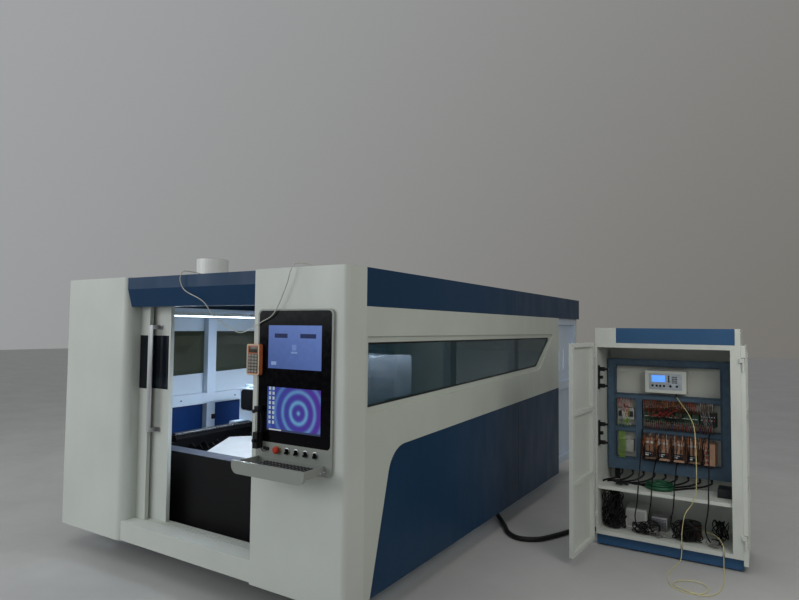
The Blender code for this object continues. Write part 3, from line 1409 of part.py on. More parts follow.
def carriage(gantry_axis):
    """The saddle that straddles the beam, its cover, and the head that hangs in front."""
    axis = axis_at("carriage_axis", (CARRIAGE_RIGHT, GANTRY_Y, GANTRY_TOP), gantry_axis)
    right = CARRIAGE_RIGHT
    left = right - CARRIAGE_WIDTH
    inner_left = left + COVER_WALL
    inner_right = right - COVER_WALL
    top_seat = GANTRY_TOP + TOP_RAIL_HEIGHT + SEAT
    face = GANTRY_Y - 2 * SEAT - FRONT_COVER_WALL
    saddle = [
        (face - SADDLE_WALL, SADDLE_TOP),
        (face - SADDLE_WALL, SADDLE_LOW),
        (face, SADDLE_LOW),
        (face, top_seat),
        (SADDLE_REAR, top_seat),
        (SADDLE_REAR, SADDLE_TOP),
    ]
    plate("carriage", "x", [saddle], inner_left + SEAT, inner_right - SEAT, STEEL, axis)
    shell = rounded([
        (COVER_FRONT, COVER_TOP, COVER_ROUND),
        (COVER_FRONT, COVER_LOW, 0.0),
        (COVER_STEP_Y, COVER_LOW, 0.0),
        (COVER_STEP_Y, COVER_REAR_LOW, 0.0),
        (COVER_REAR, COVER_REAR_LOW, 0.0),
        (COVER_REAR, COVER_TOP, COVER_ROUND),
    ], 4)
    cover = plate("carriage_cover", "x", [shell], left, right, OFF_WHITE, axis)
    cavity = [
        (COVER_FRONT + COVER_WALL, COVER_TOP - COVER_WALL),
        (COVER_FRONT + COVER_WALL, COVER_LOW - OVERRUN),
        (COVER_STEP_Y + OVERRUN, COVER_LOW - OVERRUN),
        (COVER_STEP_Y + OVERRUN, COVER_REAR_LOW - OVERRUN),
        (COVER_REAR - COVER_WALL, COVER_REAR_LOW - OVERRUN),
        (COVER_REAR - COVER_WALL, COVER_TOP - COVER_WALL),
    ]
    carve(cover, plate("cover_cavity", "x", [cavity], inner_left, inner_right, OFF_WHITE, axis))
    head_x = (left + right) / 2
    plate_back = face - SADDLE_WALL - SEAT
    plate_front = plate_back - HEAD_PLATE_WALL
    head_y = plate_front - HEAD_RADIUS * HEAD_SEAT_SHARE
    head_axis = axis_at("head_axis", (head_x, head_y, NOZZLE_TIP), axis)
    head = block(
        "cutting_head",
        (head_x - HEAD_PLATE_WIDTH / 2, plate_front, HEAD_PLATE_LOW),
        (head_x + HEAD_PLATE_WIDTH / 2, plate_back, HEAD_PLATE_TOP),
        STEEL, head_axis,
    )
    nozzle_seat = NOZZLE_TIP + NOZZLE_LENGTH
    tall = HEAD_TOP - nozzle_seat
    barrel = turned(
        "head_barrel",
        [
            (0.0, tall),
            *[(HEAD_RADIUS * across, tall * up) for across, up in HEAD_BARREL_SHARES],
            (HEAD_RADIUS, HEAD_LOW - nozzle_seat),
            (NOZZLE_COLLAR, SEAT),
            (0.0, SEAT),
        ],
        (head_x, head_y, nozzle_seat), STEEL, head_axis, sides=16,
    )
    join(head, barrel)
    turned(
        "cutting_nozzle",
        [
            (0.0, NOZZLE_LENGTH),
            (NOZZLE_COLLAR - SEAM, NOZZLE_LENGTH),
            (NOZZLE_COLLAR - SEAM, NOZZLE_LENGTH * NOZZLE_STEP_SHARE),
            (NOZZLE_RADIUS, NOZZLE_LENGTH * NOZZLE_CONE_SHARE),
            (NOZZLE_RADIUS / 2, 0.0),
            (0.0, 0.0),
        ],
        (head_x, head_y, NOZZLE_TIP), COPPER, head_axis, sides=16,
    )


FACE_DOWN_FRONT = (math.pi / 2, 0.0, 0.0)


def console():
    """The operator console: frame, black pane, two screens, and the button row's holes."""
    back = -SEAT
    face = back - CONSOLE_WALL
    frame = plate(
        "console_frame", "y",
        [rectangle(CONSOLE_LEFT, CONSOLE_LOW, CONSOLE_RIGHT, CONSOLE_HIGH, CONSOLE_ROUND, 5)],
        face, back, GREY,
    )
    left = CONSOLE_LEFT + PANE_MARGIN
    right = CONSOLE_RIGHT - PANE_MARGIN
    rebate = plate(
        "pane_rebate", "y",
        [rectangle(left - SEAT, PANE_LOW - SEAT, right + SEAT, PANE_HIGH + SEAT, PANE_ROUND, 4)],
        face - OVERRUN, face + PANE_WALL + SEAT, GREY,
    )
    carve(frame, rebate)
    for index in range(SWITCH_COUNT + 1):
        x = STOP_X if index == 0 else FIRST_SWITCH_X + (index - 1) * SWITCH_PITCH
        radius = (STOP_NECK_RADIUS if index == 0 else STEM_RADIUS) + STEM_CLEARANCE
        hole = turned(
            f"button_hole_{index}",
            [(0.0, OVERRUN), (radius, OVERRUN), (radius, -HOLE_DEPTH), (0.0, -HOLE_DEPTH)],
            (x, face, BUTTON_ROW_Z), GREY, sides=12, turn=FACE_DOWN_FRONT,
        )
        carve(frame, hole)
    pane = plate(
        "console_pane", "y",
        [rectangle(left, PANE_LOW, right, PANE_HIGH, PANE_ROUND, 4)],
        face, face + PANE_WALL, BLACK_GLASS,
    )
    for name, low, material in (
        ("screen_upper", UPPER_SCREEN_LOW, SCREEN_BLUE),
        ("screen_lower", LOWER_SCREEN_LOW, SCREEN_PURPLE),
    ):
        limits = (SCREEN_LEFT, low, SCREEN_LEFT + SCREEN_WIDTH, low + SCREEN_HEIGHT)
        pocket = block(
            name + "_pocket",
            (limits[0] - SEAT, face - OVERRUN, limits[1] - SEAT),
            (limits[2] + SEAT, face + SCREEN_WALL + SEAT, limits[3] + SEAT),
            BLACK_GLASS,
        )
        carve(pane, pocket)
        block(name, (limits[0], face, limits[1]), (limits[2], face + SCREEN_WALL, limits[3]), material)
    return face


def console_controls(face):
    """The mushroom stop button and the turning switches, each on its own axis."""
    seat = face - SEAT
    stop_axis = axis_at("stop_axis", (STOP_X, seat, BUTTON_ROW_Z))
    head = STOP_NECK_LENGTH
    turned(
        "emergency_stop",
        [
            (0.0, head + STOP_HEAD_HEIGHT),
            (STOP_HEAD_RADIUS * 0.6, head + STOP_HEAD_HEIGHT),
            (STOP_HEAD_RADIUS, head + STOP_HEAD_HEIGHT * 0.6),
            (STOP_HEAD_RADIUS, head),
            (STOP_NECK_RADIUS, head),
            (STOP_NECK_RADIUS, -STEM_DEPTH),
            (0.0, -STEM_DEPTH),
        ],
        (STOP_X, seat, BUTTON_ROW_Z), STOP_RED, stop_axis, sides=16, turn=FACE_DOWN_FRONT,
    )
    for number in range(SWITCH_COUNT):
        x = FIRST_SWITCH_X + number * SWITCH_PITCH
        axis = axis_at(f"switch_axis_{number + 1}", (x, seat, BUTTON_ROW_Z))
        knob = turned(
            f"selector_switch_{number + 1}",
            [
                (0.0, SWITCH_COLLAR),
                (SWITCH_RADIUS, SWITCH_COLLAR),
                (SWITCH_RADIUS, 0.0),
                (STEM_RADIUS, 0.0),
                (STEM_RADIUS, -STEM_DEPTH),
                (0.0, -STEM_DEPTH),
            ],
            (x, seat, BUTTON_ROW_Z), BLACK_PLASTIC, axis, sides=12, turn=FACE_DOWN_FRONT,
        )
        grip = block(
            f"switch_grip_{number}",
            (x - SWITCH_GRIP_WIDTH / 2, seat - SWITCH_COLLAR - SWITCH_GRIP_HEIGHT,
             BUTTON_ROW_Z - SWITCH_RADIUS * 0.9),
            (x + SWITCH_GRIP_WIDTH / 2, seat - SWITCH_COLLAR / 2, BUTTON_ROW_Z + SWITCH_RADIUS * 0.9),
            BLACK_PLASTIC, axis,
        )
        join(knob, grip)


def keyboard_shelf(face):
    """The shelf under the console, an open tray with a deep front lip, and its keyboard."""
    rear = face - SEAT
    lip = rounded([
        (TRAY_LEFT, TRAY_TOP, 0.0),
        (TRAY_LEFT, TRAY_LOW, TRAY_ROUND),
        (TRAY_RIGHT, TRAY_LOW, TRAY_ROUND),
        (TRAY_RIGHT, TRAY_TOP, 0.0),
    ], 5)
    tray = plate("keyboard_tray", "y", [lip], TRAY_FRONT, TRAY_FRONT + TRAY_LIP, GREY)
    inset = TRAY_ROUND / 2
    body = block(
        "tray_body",
        (TRAY_LEFT + inset, TRAY_FRONT + TRAY_LIP / 2, TRAY_FLOOR - TRAY_WALL),
        (TRAY_RIGHT - inset, rear, TRAY_TOP - TRAY_WALL),
        GREY,
    )
    join(tray, body)
    pocket = block(
        "tray_pocket",
        (TRAY_LEFT + inset + TRAY_WALL, TRAY_FRONT + TRAY_LIP, TRAY_FLOOR),
        (TRAY_RIGHT - inset - TRAY_WALL, rear - TRAY_WALL, TRAY_TOP + OVERRUN),
        GREY,
    )
    carve(tray, pocket)
    right = TRAY_RIGHT - inset - TRAY_WALL - SEAM
    front = TRAY_FRONT + TRAY_LIP + SEAM
    low = TRAY_FLOOR + SEAT
    profile = [
        (front, low),
        (front + KEYBOARD_DEPTH, low),
        (front + KEYBOARD_DEPTH, low + KEYBOARD_REAR_HEIGHT),
        (front, low + KEYBOARD_HEIGHT),
    ]
    plate("keyboard", "x", [profile], right - KEYBOARD_WIDTH, right, BLACK_PLASTIC)


def console_extras(face):
    """The hand pendant that hangs by the console, and the clip on its arm."""
    back = face - SEAT
    plate(
        "pendant_remote", "y",
        [rectangle(
            PENDANT_LEFT, PENDANT_LOW, PENDANT_LEFT + PENDANT_WIDTH, PENDANT_LOW + PENDANT_HEIGHT,
            PENDANT_ROUND, 3,
        )],
        back - PENDANT_WALL, back, ORANGE,
    )
    half = CLIP_BLOCK / 2
    clamp = block(
        "clip_arm",
        (CLIP_X - half, back - CLIP_STAND_OFF, CLIP_LOW),
        (CLIP_X + half, back, CLIP_LOW + CLIP_CLAMP_HEIGHT),
        BLACK_PLASTIC,
    )
    rod_y = back - CLIP_STAND_OFF / 2
    rod = turned(
        "clip_rod",
        [
            (0.0, CLIP_HIGH),
            (CLIP_ROD_RADIUS, CLIP_HIGH),
            (CLIP_ROD_RADIUS, CLIP_LOW + CLIP_CLAMP_HEIGHT / 2),
            (0.0, CLIP_LOW + CLIP_CLAMP_HEIGHT / 2),
        ],
        (CLIP_X, rod_y, 0.0), BLACK_PLASTIC, sides=8,
    )
    jaw = block(
        "clip_jaw",
        (CLIP_X - half, rod_y - half, CLIP_HIGH - half),
        (CLIP_X + half, rod_y + half, CLIP_HIGH + half),
        BLACK_PLASTIC,
    )
    join(clamp, rod)
    join(clamp, jaw)


def cabinet_shell():
    """The cabinet's welded shell with its shelf and floor, the blue fascia and the plinth."""
    front = CABINET_FRONT
    rear = front + CABINET_DEPTH
    skin = CABINET_SKIN
    shell = block(
        "cabinet_shell",
        (CABINET_LEFT, front, CABINET_BOTTOM), (CABINET_RIGHT, rear, CABINET_TOP), OFF_WHITE,
    )
    rooms = (
        ("upper_room", SHELF_TOP, CABINET_OPENING_TOP),
        ("lower_room", CABINET_FLOOR, SHELF_TOP - SHELF_WALL),
    )
    for label, low, high in rooms:
        mouth = block(
            label + "_mouth",
            (CABINET_LEFT + skin, front - OVERRUN, low),
            (CABINET_RIGHT - CABINET_RIGHT_STILE, front + skin, high),
            OFF_WHITE,
        )
        room = block(
            label,
            (CABINET_LEFT + skin, front + skin - SEAT, low),
            (CABINET_RIGHT - skin, rear - skin, high),
            OFF_WHITE,
        )
        carve(shell, mouth)
        carve(shell, room)
    behind_shelf = block(
        "shelf_gap",
        (CABINET_LEFT + skin, front + SHELF_DEPTH, CABINET_FLOOR),
        (CABINET_RIGHT - skin, rear - skin, SHELF_TOP + OVERRUN),
        OFF_WHITE,
    )
    carve(shell, behind_shelf)
    shelf_front = block(
        "shelf_front",
        (CABINET_LEFT + skin, front - OVERRUN, SHELF_TOP - SHELF_WALL - OVERRUN),
        (CABINET_RIGHT - CABINET_RIGHT_STILE, front + SHELF_SETBACK, SHELF_TOP + OVERRUN),
        OFF_WHITE,
    )
    carve(shell, shelf_front)
    for number, x in enumerate((NOTCH_FIRST_X, NOTCH_SECOND_X)):
        notch = block(
            f"cable_notch_{number}",
            (x - CABLE_NOTCH / 2, front - OVERRUN, CABINET_BOTTOM - OVERRUN),
            (x + CABLE_NOTCH / 2, front + CABLE_NOTCH_DEPTH, CABINET_FLOOR + OVERRUN),
            OFF_WHITE,
        )
        carve(shell, notch)
    fascia_pocket = block(
        "fascia_pocket",
        (CABINET_LEFT + FASCIA_LEFT_INSET - SEAT, front - OVERRUN, FASCIA_LOW - SEAT),
        (CABINET_RIGHT - FASCIA_RIGHT_INSET + SEAT, front + FASCIA_WALL + SEAT, CABINET_TOP + OVERRUN),
        OFF_WHITE,
    )
    carve(shell, fascia_pocket)
    block(
        "cabinet_fascia",
        (CABINET_LEFT + FASCIA_LEFT_INSET, front, FASCIA_LOW),
        (CABINET_RIGHT - FASCIA_RIGHT_INSET, front + FASCIA_WALL, CABINET_TOP),
        NAVY,
    )
    low_front = front + CABLE_NOTCH_DEPTH + SEAM
    plinth = block(
        "cabinet_plinth",
        (CABINET_LEFT, low_front, PLINTH_BOTTOM),
        (CABINET_RIGHT, rear, CABINET_BOTTOM - SEAT),
        NAVY,
    )
    side_inset = 3 * PLINTH_FOOT_RADIUS
    end_inset = 2 * PLINTH_FOOT_RADIUS
    for label, x in (("left", CABINET_LEFT + side_inset), ("right", CABINET_RIGHT - side_inset)):
        for end, y in (("front", low_front + end_inset), ("rear", rear - end_inset)):
            foot = turned(
                f"cabinet_foot_{label}_{end}",
                [
                    (0.0, PLINTH_BOTTOM + OVERRUN),
                    (PLINTH_FOOT_RADIUS, PLINTH_BOTTOM + OVERRUN),
                    (PLINTH_FOOT_RADIUS, 0.0),
                    (0.0, 0.0),
                ],
                (x, y, 0.0), NAVY, sides=10,
            )
            join(plinth, foot)
    return shell


def cabinet_inside():
    """The mounting plate with its slotted trunking, devices, drives and loose equipment."""
    back = CABINET_FRONT + CABINET_DEPTH - CABINET_SKIN - SEAT
    panel = block(
        "mounting_plate",
        (PLATE_LEFT, PLATE_Y, PLATE_LOW), (PLATE_RIGHT, PLATE_Y + PLATE_WALL, PLATE_HIGH), PLATE_GREY,
    )
    for label, x in (("left", PLATE_LEFT), ("right", PLATE_RIGHT - TRUNKING_LEFT)):
        batten = block(
            f"plate_batten_{label}",
            (x, PLATE_Y + PLATE_WALL / 2, PLATE_LOW), (x + TRUNKING_LEFT, back, PLATE_HIGH), PLATE_GREY,
        )
        join(panel, batten)
    inner_left = PLATE_LEFT + TRUNKING_LEFT
    inner_right = PLATE_RIGHT - TRUNKING_RIGHT
    mid_left = TRUNKING_MID_X
    mid_right = mid_left + TRUNKING_MID_WIDTH
    outlines = [
        rectangle(PLATE_LEFT, PLATE_LOW, PLATE_RIGHT, PLATE_HIGH),
        rectangle(inner_left, TOP_ROW_LOW, inner_right, PLATE_HIGH - TRUNKING_TOP),
        rectangle(inner_left, MIDDLE_ROW_LOW, mid_left, MIDDLE_ROW_HIGH),
        rectangle(mid_right, MIDDLE_ROW_LOW, inner_right, MIDDLE_ROW_HIGH),
        rectangle(inner_left, LOWER_ROW_LOW, mid_left, LOWER_ROW_HIGH),
        rectangle(mid_right, LOWER_ROW_LOW, inner_right, LOWER_ROW_HIGH),
    ]
    face = PLATE_Y - SEAT
    plate("wire_trunking", "y", outlines, face - TRUNKING_DEPTH, face, TRUNK_BLUE)
    controller = plate(
        "controller_box", "y",
        [rectangle(
            CONTROLLER_LEFT, CONTROLLER_LOW, CONTROLLER_LEFT + CONTROLLER_WIDTH,
            CONTROLLER_LOW + CONTROLLER_HEIGHT, CONTROLLER_ROUND, 2,
        )],
        face - CONTROLLER_DEPTH, face, OFF_WHITE,
    )
    soften(controller, SEAM, 1)
    device_row(
        "terminal_row", TERMINAL_LEFT, TERMINAL_WIDTH, TERMINAL_LOW, TERMINAL_HEIGHT,
        TERMINAL_DEPTH, TERMINAL_STEP_DEPTH, TERMINAL_COUNT, TERMINAL_GAP_SHARE, GREEN,
    )
    device_row(
        "drive_row", DRIVE_LEFT, DRIVE_WIDTH, DRIVE_LOW, DRIVE_HEIGHT,
        DRIVE_BACK_DEPTH, DRIVE_DEPTH, DRIVE_COUNT, DRIVE_GAP_SHARE, BEIGE,
    )
    floor = CABINET_FLOOR + SEAT
    device = block(
        "power_supply",
        (DEVICE_LEFT, DEVICE_FRONT, floor),
        (DEVICE_LEFT + DEVICE_WIDTH, DEVICE_FRONT + DEVICE_DEPTH, floor + DEVICE_HEIGHT),
        OFF_WHITE,
    )
    soften(device, SEAM, 1)
    turned(
        "transformer",
        [
            (DRUM_RADIUS - SEAM, DRUM_HEIGHT),
            (DRUM_RADIUS, DRUM_HEIGHT - SEAM),
            (DRUM_RADIUS, SEAM),
            (DRUM_RADIUS - SEAM, 0.0),
            (DRUM_BORE, 0.0),
            (DRUM_BORE, DRUM_HEIGHT),
        ],
        (DRUM_X, DRUM_Y, floor), BLACK_PLASTIC, sides=20,
    )
    ring = []
    sides = 8
    for index in range(sides):
        angle = -2 * math.pi * index / sides
        ring.append((
            COIL_RADIUS + COIL_TUBE * math.cos(angle) * 1.3,
            COIL_TUBE + COIL_TUBE * math.sin(angle),
        ))
    turned("cable_coil", ring, (COIL_X, COIL_Y, SHELF_TOP + SEAT), GREEN, sides=20)


def device_row(name, left, width, low, height, back_depth, step_depth, count, gap_share, material):
    """Devices side by side on one rail, stepped forward one after the other."""
    face = PLATE_Y - SEAT
    pitch = width / count
    gap = pitch * gap_share
    outline = [(left, face)]
    outline.append((left, face - back_depth))
    for index in range(count):
        start = left + index * pitch + gap / 2
        end = start + pitch - gap
        depth = back_depth + step_depth * (1.0 if index % 3 else 0.8)
        outline.append((start, face - back_depth))
        outline.append((start, face - depth))
        outline.append((end, face - depth))
        outline.append((end, face - back_depth))
    outline.append((left + width, face - back_depth))
    outline.append((left + width, face))
    return plate(name, "z", [outline], low, low + height, material)


def knuckle_places():
    """The heights at which the cabinet doors' knuckles start."""
    return (
        CABINET_LEAF_LOW + KNUCKLE_INSET,
        CABINET_LEAF_HIGH - KNUCKLE_INSET - KNUCKLE_LENGTH,
    )


def hinge_ears(shell, hinge, sign, wall):
    """The ears on the shell that the knuckles of one door turn on."""
    for number, low in enumerate(knuckle_places()):
        ear_low = low + KNUCKLE_LENGTH + SEAT
        edges = sorted((hinge[0] - sign * KNUCKLE_RADIUS, wall + sign * CABINET_SKIN / 2))
        ear = block(
            f"hinge_ear_{round(hinge[0] * 100)}_{number}",
            (edges[0], hinge[1] - KNUCKLE_RADIUS, ear_low),
            (edges[1], CABINET_FRONT + EAR_REACH, ear_low + EAR_HEIGHT),
            OFF_WHITE,
        )
        join(shell, ear)


def cabinet_leaf(name, hinge, sign, axis):
    """One cabinet door, modelled closed: a pan with a rim and cross bars, and its knuckles."""
    near = hinge[0] + sign * HINGE_OFFSET
    far = near + sign * CABINET_LEAF_WIDTH
    left, right = sorted((near, far))
    front = hinge[1] - CABINET_LEAF_WALL / 2
    rear = front + CABINET_LEAF_WALL
    leaf = block(name, (left, front, CABINET_LEAF_LOW), (right, rear, CABINET_LEAF_HIGH), OFF_WHITE, axis)
    rim = CABINET_LEAF_RIM
    clear = CABINET_LEAF_HIGH - CABINET_LEAF_LOW - (CABINET_LEAF_BAR_COUNT + 2) * rim
    panes = CABINET_LEAF_BAR_COUNT + 1
    for index in range(panes):
        low = CABINET_LEAF_LOW + rim + index * (clear / panes + rim)
        pocket = block(
            f"{name}_pocket_{index}",
            (left + rim, front + CABINET_LEAF_SKIN, low),
            (right - rim, rear + OVERRUN, low + clear / panes),
            OFF_WHITE, axis,
        )
        carve(leaf, pocket)
    for label, low in zip(("low", "high"), knuckle_places()):
        top = low + KNUCKLE_LENGTH
        notch_edges = sorted((near - sign * OVERRUN, near + sign * EAR_NOTCH))
        notch = block(
            f"{name}_notch_{label}",
            (notch_edges[0], front - OVERRUN, top - KNUCKLE_LAP),
            (notch_edges[1], rear + OVERRUN, top + EAR_HEIGHT + KNUCKLE_LAP),
            OFF_WHITE, axis,
        )
        carve(leaf, notch)
        knuckle = turned(
            f"{name}_knuckle_{label}",
            [
                (0.0, KNUCKLE_LENGTH),
                (KNUCKLE_RADIUS, KNUCKLE_LENGTH),
                (KNUCKLE_RADIUS, 0.0),
                (0.0, 0.0),
            ],
            (hinge[0], hinge[1], low), OFF_WHITE, axis, sides=10,
        )
        strap = block(
            f"{name}_strap_{label}",
            (min(hinge[0], near + sign * rim / 2), hinge[1] - KNUCKLE_RADIUS / 2, low),
            (max(hinge[0], near + sign * rim / 2), hinge[1] + KNUCKLE_RADIUS / 2, low + KNUCKLE_LENGTH),
            OFF_WHITE, axis,
        )
        join(leaf, knuckle)
        join(leaf, strap)


def cabinet_doors(shell):
    """The two cabinet doors on their hinges, standing open."""
    y = CABINET_FRONT - SEAT - CABINET_LEAF_WALL / 2
    left_hinge = (CABINET_LEFT - HINGE_OFFSET, y, CABINET_LEAF_LOW)
    right_hinge = (CABINET_RIGHT + HINGE_OFFSET, y, CABINET_LEAF_LOW)
    left_axis = axis_at("cabinet_left_hinge", left_hinge)
    right_axis = axis_at("cabinet_right_hinge", right_hinge)
    hinge_ears(shell, left_hinge, 1.0, CABINET_LEFT)
    hinge_ears(shell, right_hinge, -1.0, CABINET_RIGHT)
    cabinet_leaf("cabinet_door_left", left_hinge, 1.0, left_axis)
    cabinet_leaf("cabinet_door_right", right_hinge, -1.0, right_axis)
    left_axis.rotation_euler.z = -math.radians(LEFT_OPEN_DEGREES)
    right_axis.rotation_euler.z = math.radians(RIGHT_OPEN_DEGREES)


def cables():
    """The cable hung across the doorway, the patch cable on the floor and the floor cable."""
    on_roof = ROOF_TOP + HANGING_DIAMETER / 2 + SEAT
    cord(
        "hanging_cable",
        [
            (-1.30, 0.30, on_roof),
            (-1.33, 0.22, on_roof),
            (-1.36, 0.14, on_roof + 0.003),
            (-1.376, 0.05, on_roof + 0.015),
            (-1.381, -0.010, on_roof + 0.012),
            (-1.385, -0.028, 2.040),
            (-1.386, -0.026, 2.000),
            (-1.345, -0.018, 1.94),
            (-1.165, -0.020, 1.867),
            (-1.060, -0.020, 1.773),
            (-0.875, -0.024, 1.683),
            (-0.772, -0.026, 1.672),
            (-0.628, -0.028, 1.732),
            (-0.522, -0.028, 1.789),
            (-0.430, -0.028, 1.950),
            (-0.400, -0.030, 2.030),
            (-0.378, -0.014, on_roof + 0.016),
            (-0.345, 0.045, on_roof + 0.019),
            (-0.29, 0.11, on_roof + 0.006),
            (-0.22, 0.17, on_roof + 0.001),
            (-0.17, 0.21, on_roof),
            (-0.12, 0.26, on_roof),
        ],
        HANGING_DIAMETER, COARSE_CORD_SIDE_COUNT, HANGING_POINT_COUNT, WHITE_CORD,
    )
    on_floor = PATCH_DIAMETER / 2 + SEAT
    cord(
        "patch_cable",
        [
            (1.328, 2.590, 1.2034),
            (1.328, 2.590, 1.1920),
            (1.333, 2.586, 1.175),
            (1.379, 2.54, 1.119),
            (1.4286, 2.48, 1.060),
            (1.472, 2.40, 0.979),
            (1.489, 2.33, 0.859),
            (1.495, 2.295, 0.720),
            (1.495, 2.2905, 0.606),
            (1.488, 2.2905, 0.50),
            (1.459, 2.2905, 0.422),
            (1.416, 2.2905, 0.350),
            (1.394, 2.2905, 0.22),
            (1.392, 2.2910, 0.12),
            (1.390, 2.2905, 0.058),
            (1.384, 2.270, 0.014),
            (1.372, 2.22, on_floor),
            (1.345, 2.06, on_floor),
            (1.345, 1.90, on_floor),
            (1.39, 1.78, on_floor),
            (1.475, 1.728, on_floor),
            (1.57, 1.76, on_floor + 0.001),
            (1.60, 1.86, on_floor + 0.008),
            (1.54, 1.93, on_floor + 0.009),
            (1.45, 1.92, on_floor + 0.004),
            (1.40, 1.86, on_floor + 0.004),
            (1.405, 1.795, on_floor + 0.0065),
            (1.47, 1.752, on_floor + 0.007),
            (1.575, 1.722, on_floor + 0.0065),
            (1.645, 1.80, on_floor + 0.001),
            (1.675, 1.95, on_floor),
            (1.678, 2.12, on_floor),
            (1.672, 2.22, on_floor),
            (1.667, 2.270, 0.014),
            (1.665, 2.2905, 0.058),
            (1.665, 2.2915, 0.12),
            (1.660, 2.31, 0.165),
            (1.62, 2.41, 0.186),
            (1.570, 2.485, 0.182),
            (1.540, DRUM_Y, 0.180),
            (1.520, DRUM_Y, 0.180),
            (DRUM_X + DRUM_RADIUS + 2 * SEAT, DRUM_Y, 0.180),
        ],
        PATCH_DIAMETER, COARSE_CORD_SIDE_COUNT, PATCH_POINT_COUNT, YELLOW_CORD,
    )
    floor_run = UMBILICAL_DIAMETER / 2 + SEAT
    cord(
        "floor_cable",
        [
            (-BED_SIDE + 2 * SEAT, 2.45, 0.225),
            (-0.350, 2.45, 0.225),
            (-0.300, 2.45, 0.215),
            (-0.200, 2.43, 0.130),
            (-0.110, 2.39, 0.060),
            (0.0, 2.28, floor_run),
            (0.10, 2.12, floor_run),
            (0.22, 2.04, floor_run),
            (0.36, 2.10, floor_run),
            (0.46, 2.28, floor_run),
            (0.54, 2.46, floor_run),
            (0.64, 2.555, floor_run + 0.001),
            (0.70, 2.57, floor_run + 0.012),
            (0.74, 2.57, floor_run + 0.014),
            (CABINET_LEFT - SEAT, 2.57, floor_run + 0.014),
        ],
        UMBILICAL_DIAMETER, FINE_CORD_SIDE_COUNT, UMBILICAL_POINT_COUNT, BLACK_CORD,
    )


def centre_on_base():
    """Move the whole machine so that its base's middle is the origin, cords left out."""
    graph = bpy.context.evaluated_depsgraph_get()
    lows = []
    highs = []
    for thing in collection.objects:
        if thing.type != "MESH":
            continue
        shape = thing.evaluated_get(graph)
        corners = [shape.matrix_world @ vertex.co for vertex in shape.data.vertices]
        lows.append([min(corner[axis] for corner in corners) for axis in range(3)])
        highs.append([max(corner[axis] for corner in corners) for axis in range(3)])
    low = [min(values) for values in zip(*lows)]
    high = [max(values) for values in zip(*highs)]
    root.location = (-(low[0] + high[0]) / 2, -(low[1] + high[1]) / 2, -low[2])


def build():
    """Make every sub-part and centre the machine."""
    front_columns()
    lintel_and_sill()
    sliding_door()
    for side, rear, glass in (
        ("right", BAY_START, SMOKED),
        ("left", BODY_LENGTH - REAR_WALL - SEAT, OLIVE),
    ):
        side_wall(side, rear, glass)
        inner_frame(side)
    roof()
    rear_wall_and_bay()
    machine_bed()
    slat_table()
    carriage(gantry())
    face = console()
    console_controls(face)
    keyboard_shelf(face)
    console_extras(face)
    shell = cabinet_shell()
    cabinet_inside()
    cabinet_doors(shell)
    cables()
    centre_on_base()


build()
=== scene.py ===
# %% [markdown]
# A laser cutting machine and its control cabinet. The packed model brings every solid
# at its true size and place. This lesson dresses those solids: paint, glass and steel
# come from shader nodes, and the small things that make a machine look used, such as
# keys, wires and hinges, are built here as meshes that ride on the packed bodies.

# %% Load the packed model
import math

import bmesh
import bpy
from mathutils import Matrix, Vector


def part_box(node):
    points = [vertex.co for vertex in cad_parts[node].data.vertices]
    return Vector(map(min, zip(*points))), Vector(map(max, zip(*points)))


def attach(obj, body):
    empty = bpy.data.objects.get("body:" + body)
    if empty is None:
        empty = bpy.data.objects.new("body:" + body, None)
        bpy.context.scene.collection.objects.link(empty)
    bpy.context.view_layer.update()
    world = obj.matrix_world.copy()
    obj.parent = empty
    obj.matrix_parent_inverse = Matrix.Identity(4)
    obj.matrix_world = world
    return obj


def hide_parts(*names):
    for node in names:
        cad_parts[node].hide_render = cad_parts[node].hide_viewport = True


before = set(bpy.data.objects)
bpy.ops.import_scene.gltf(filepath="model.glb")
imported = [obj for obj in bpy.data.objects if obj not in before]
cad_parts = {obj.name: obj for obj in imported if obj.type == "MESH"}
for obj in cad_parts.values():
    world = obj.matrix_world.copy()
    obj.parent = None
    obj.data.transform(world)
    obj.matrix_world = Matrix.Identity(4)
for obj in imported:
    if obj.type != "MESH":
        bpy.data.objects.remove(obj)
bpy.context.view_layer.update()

# %% [markdown]
# All places below are written in the machine's own frame, as a fitter would measure
# them: x from the right side plane (left is negative), y from the front plane back,
# z up from the floor. The planes are read from the packed front column, so one helper
# can move any place into the packed model's frame.

# %% The machine's own frame
COLUMN_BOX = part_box("right_front_column")
RIGHT_PLANE = COLUMN_BOX[1][0]
FRONT_PLANE = COLUMN_BOX[0][1]
CLEAR = 0.0003  # the gap that keeps a dressed piece off the solid behind it


def at(x, y, z):
    """A place in the machine's frame, moved into the packed model's frame."""
    return Vector((x + RIGHT_PLANE, y + FRONT_PLANE, z))


def add_object(name, data):
    """A new object in the scene."""
    thing = bpy.data.objects.new(name, data)
    bpy.context.scene.collection.objects.link(thing)
    return thing


print("right plane", round(RIGHT_PLANE, 4), "front plane", round(FRONT_PLANE, 4))

# %% [markdown]
# The camera stands where the photographer stood: at head height, right of the front
# corner, looking left along the machine. The photo's straight edges gave its place and
# lens. Yaw, pitch and roll turn its axes, because a camera held by hand is never level.

# %% Camera
CAMERA_PLACE = (1.974, -2.624, 1.707)
CAMERA_YAW = math.radians(-31.984)
CAMERA_PITCH = math.radians(2.674)
CAMERA_ROLL = math.radians(-0.591)
FOCAL_PIXELS = 593.84
PICTURE_WIDTH = 799
SENSOR_WIDTH = 36.0
CLIP_END = 200.0


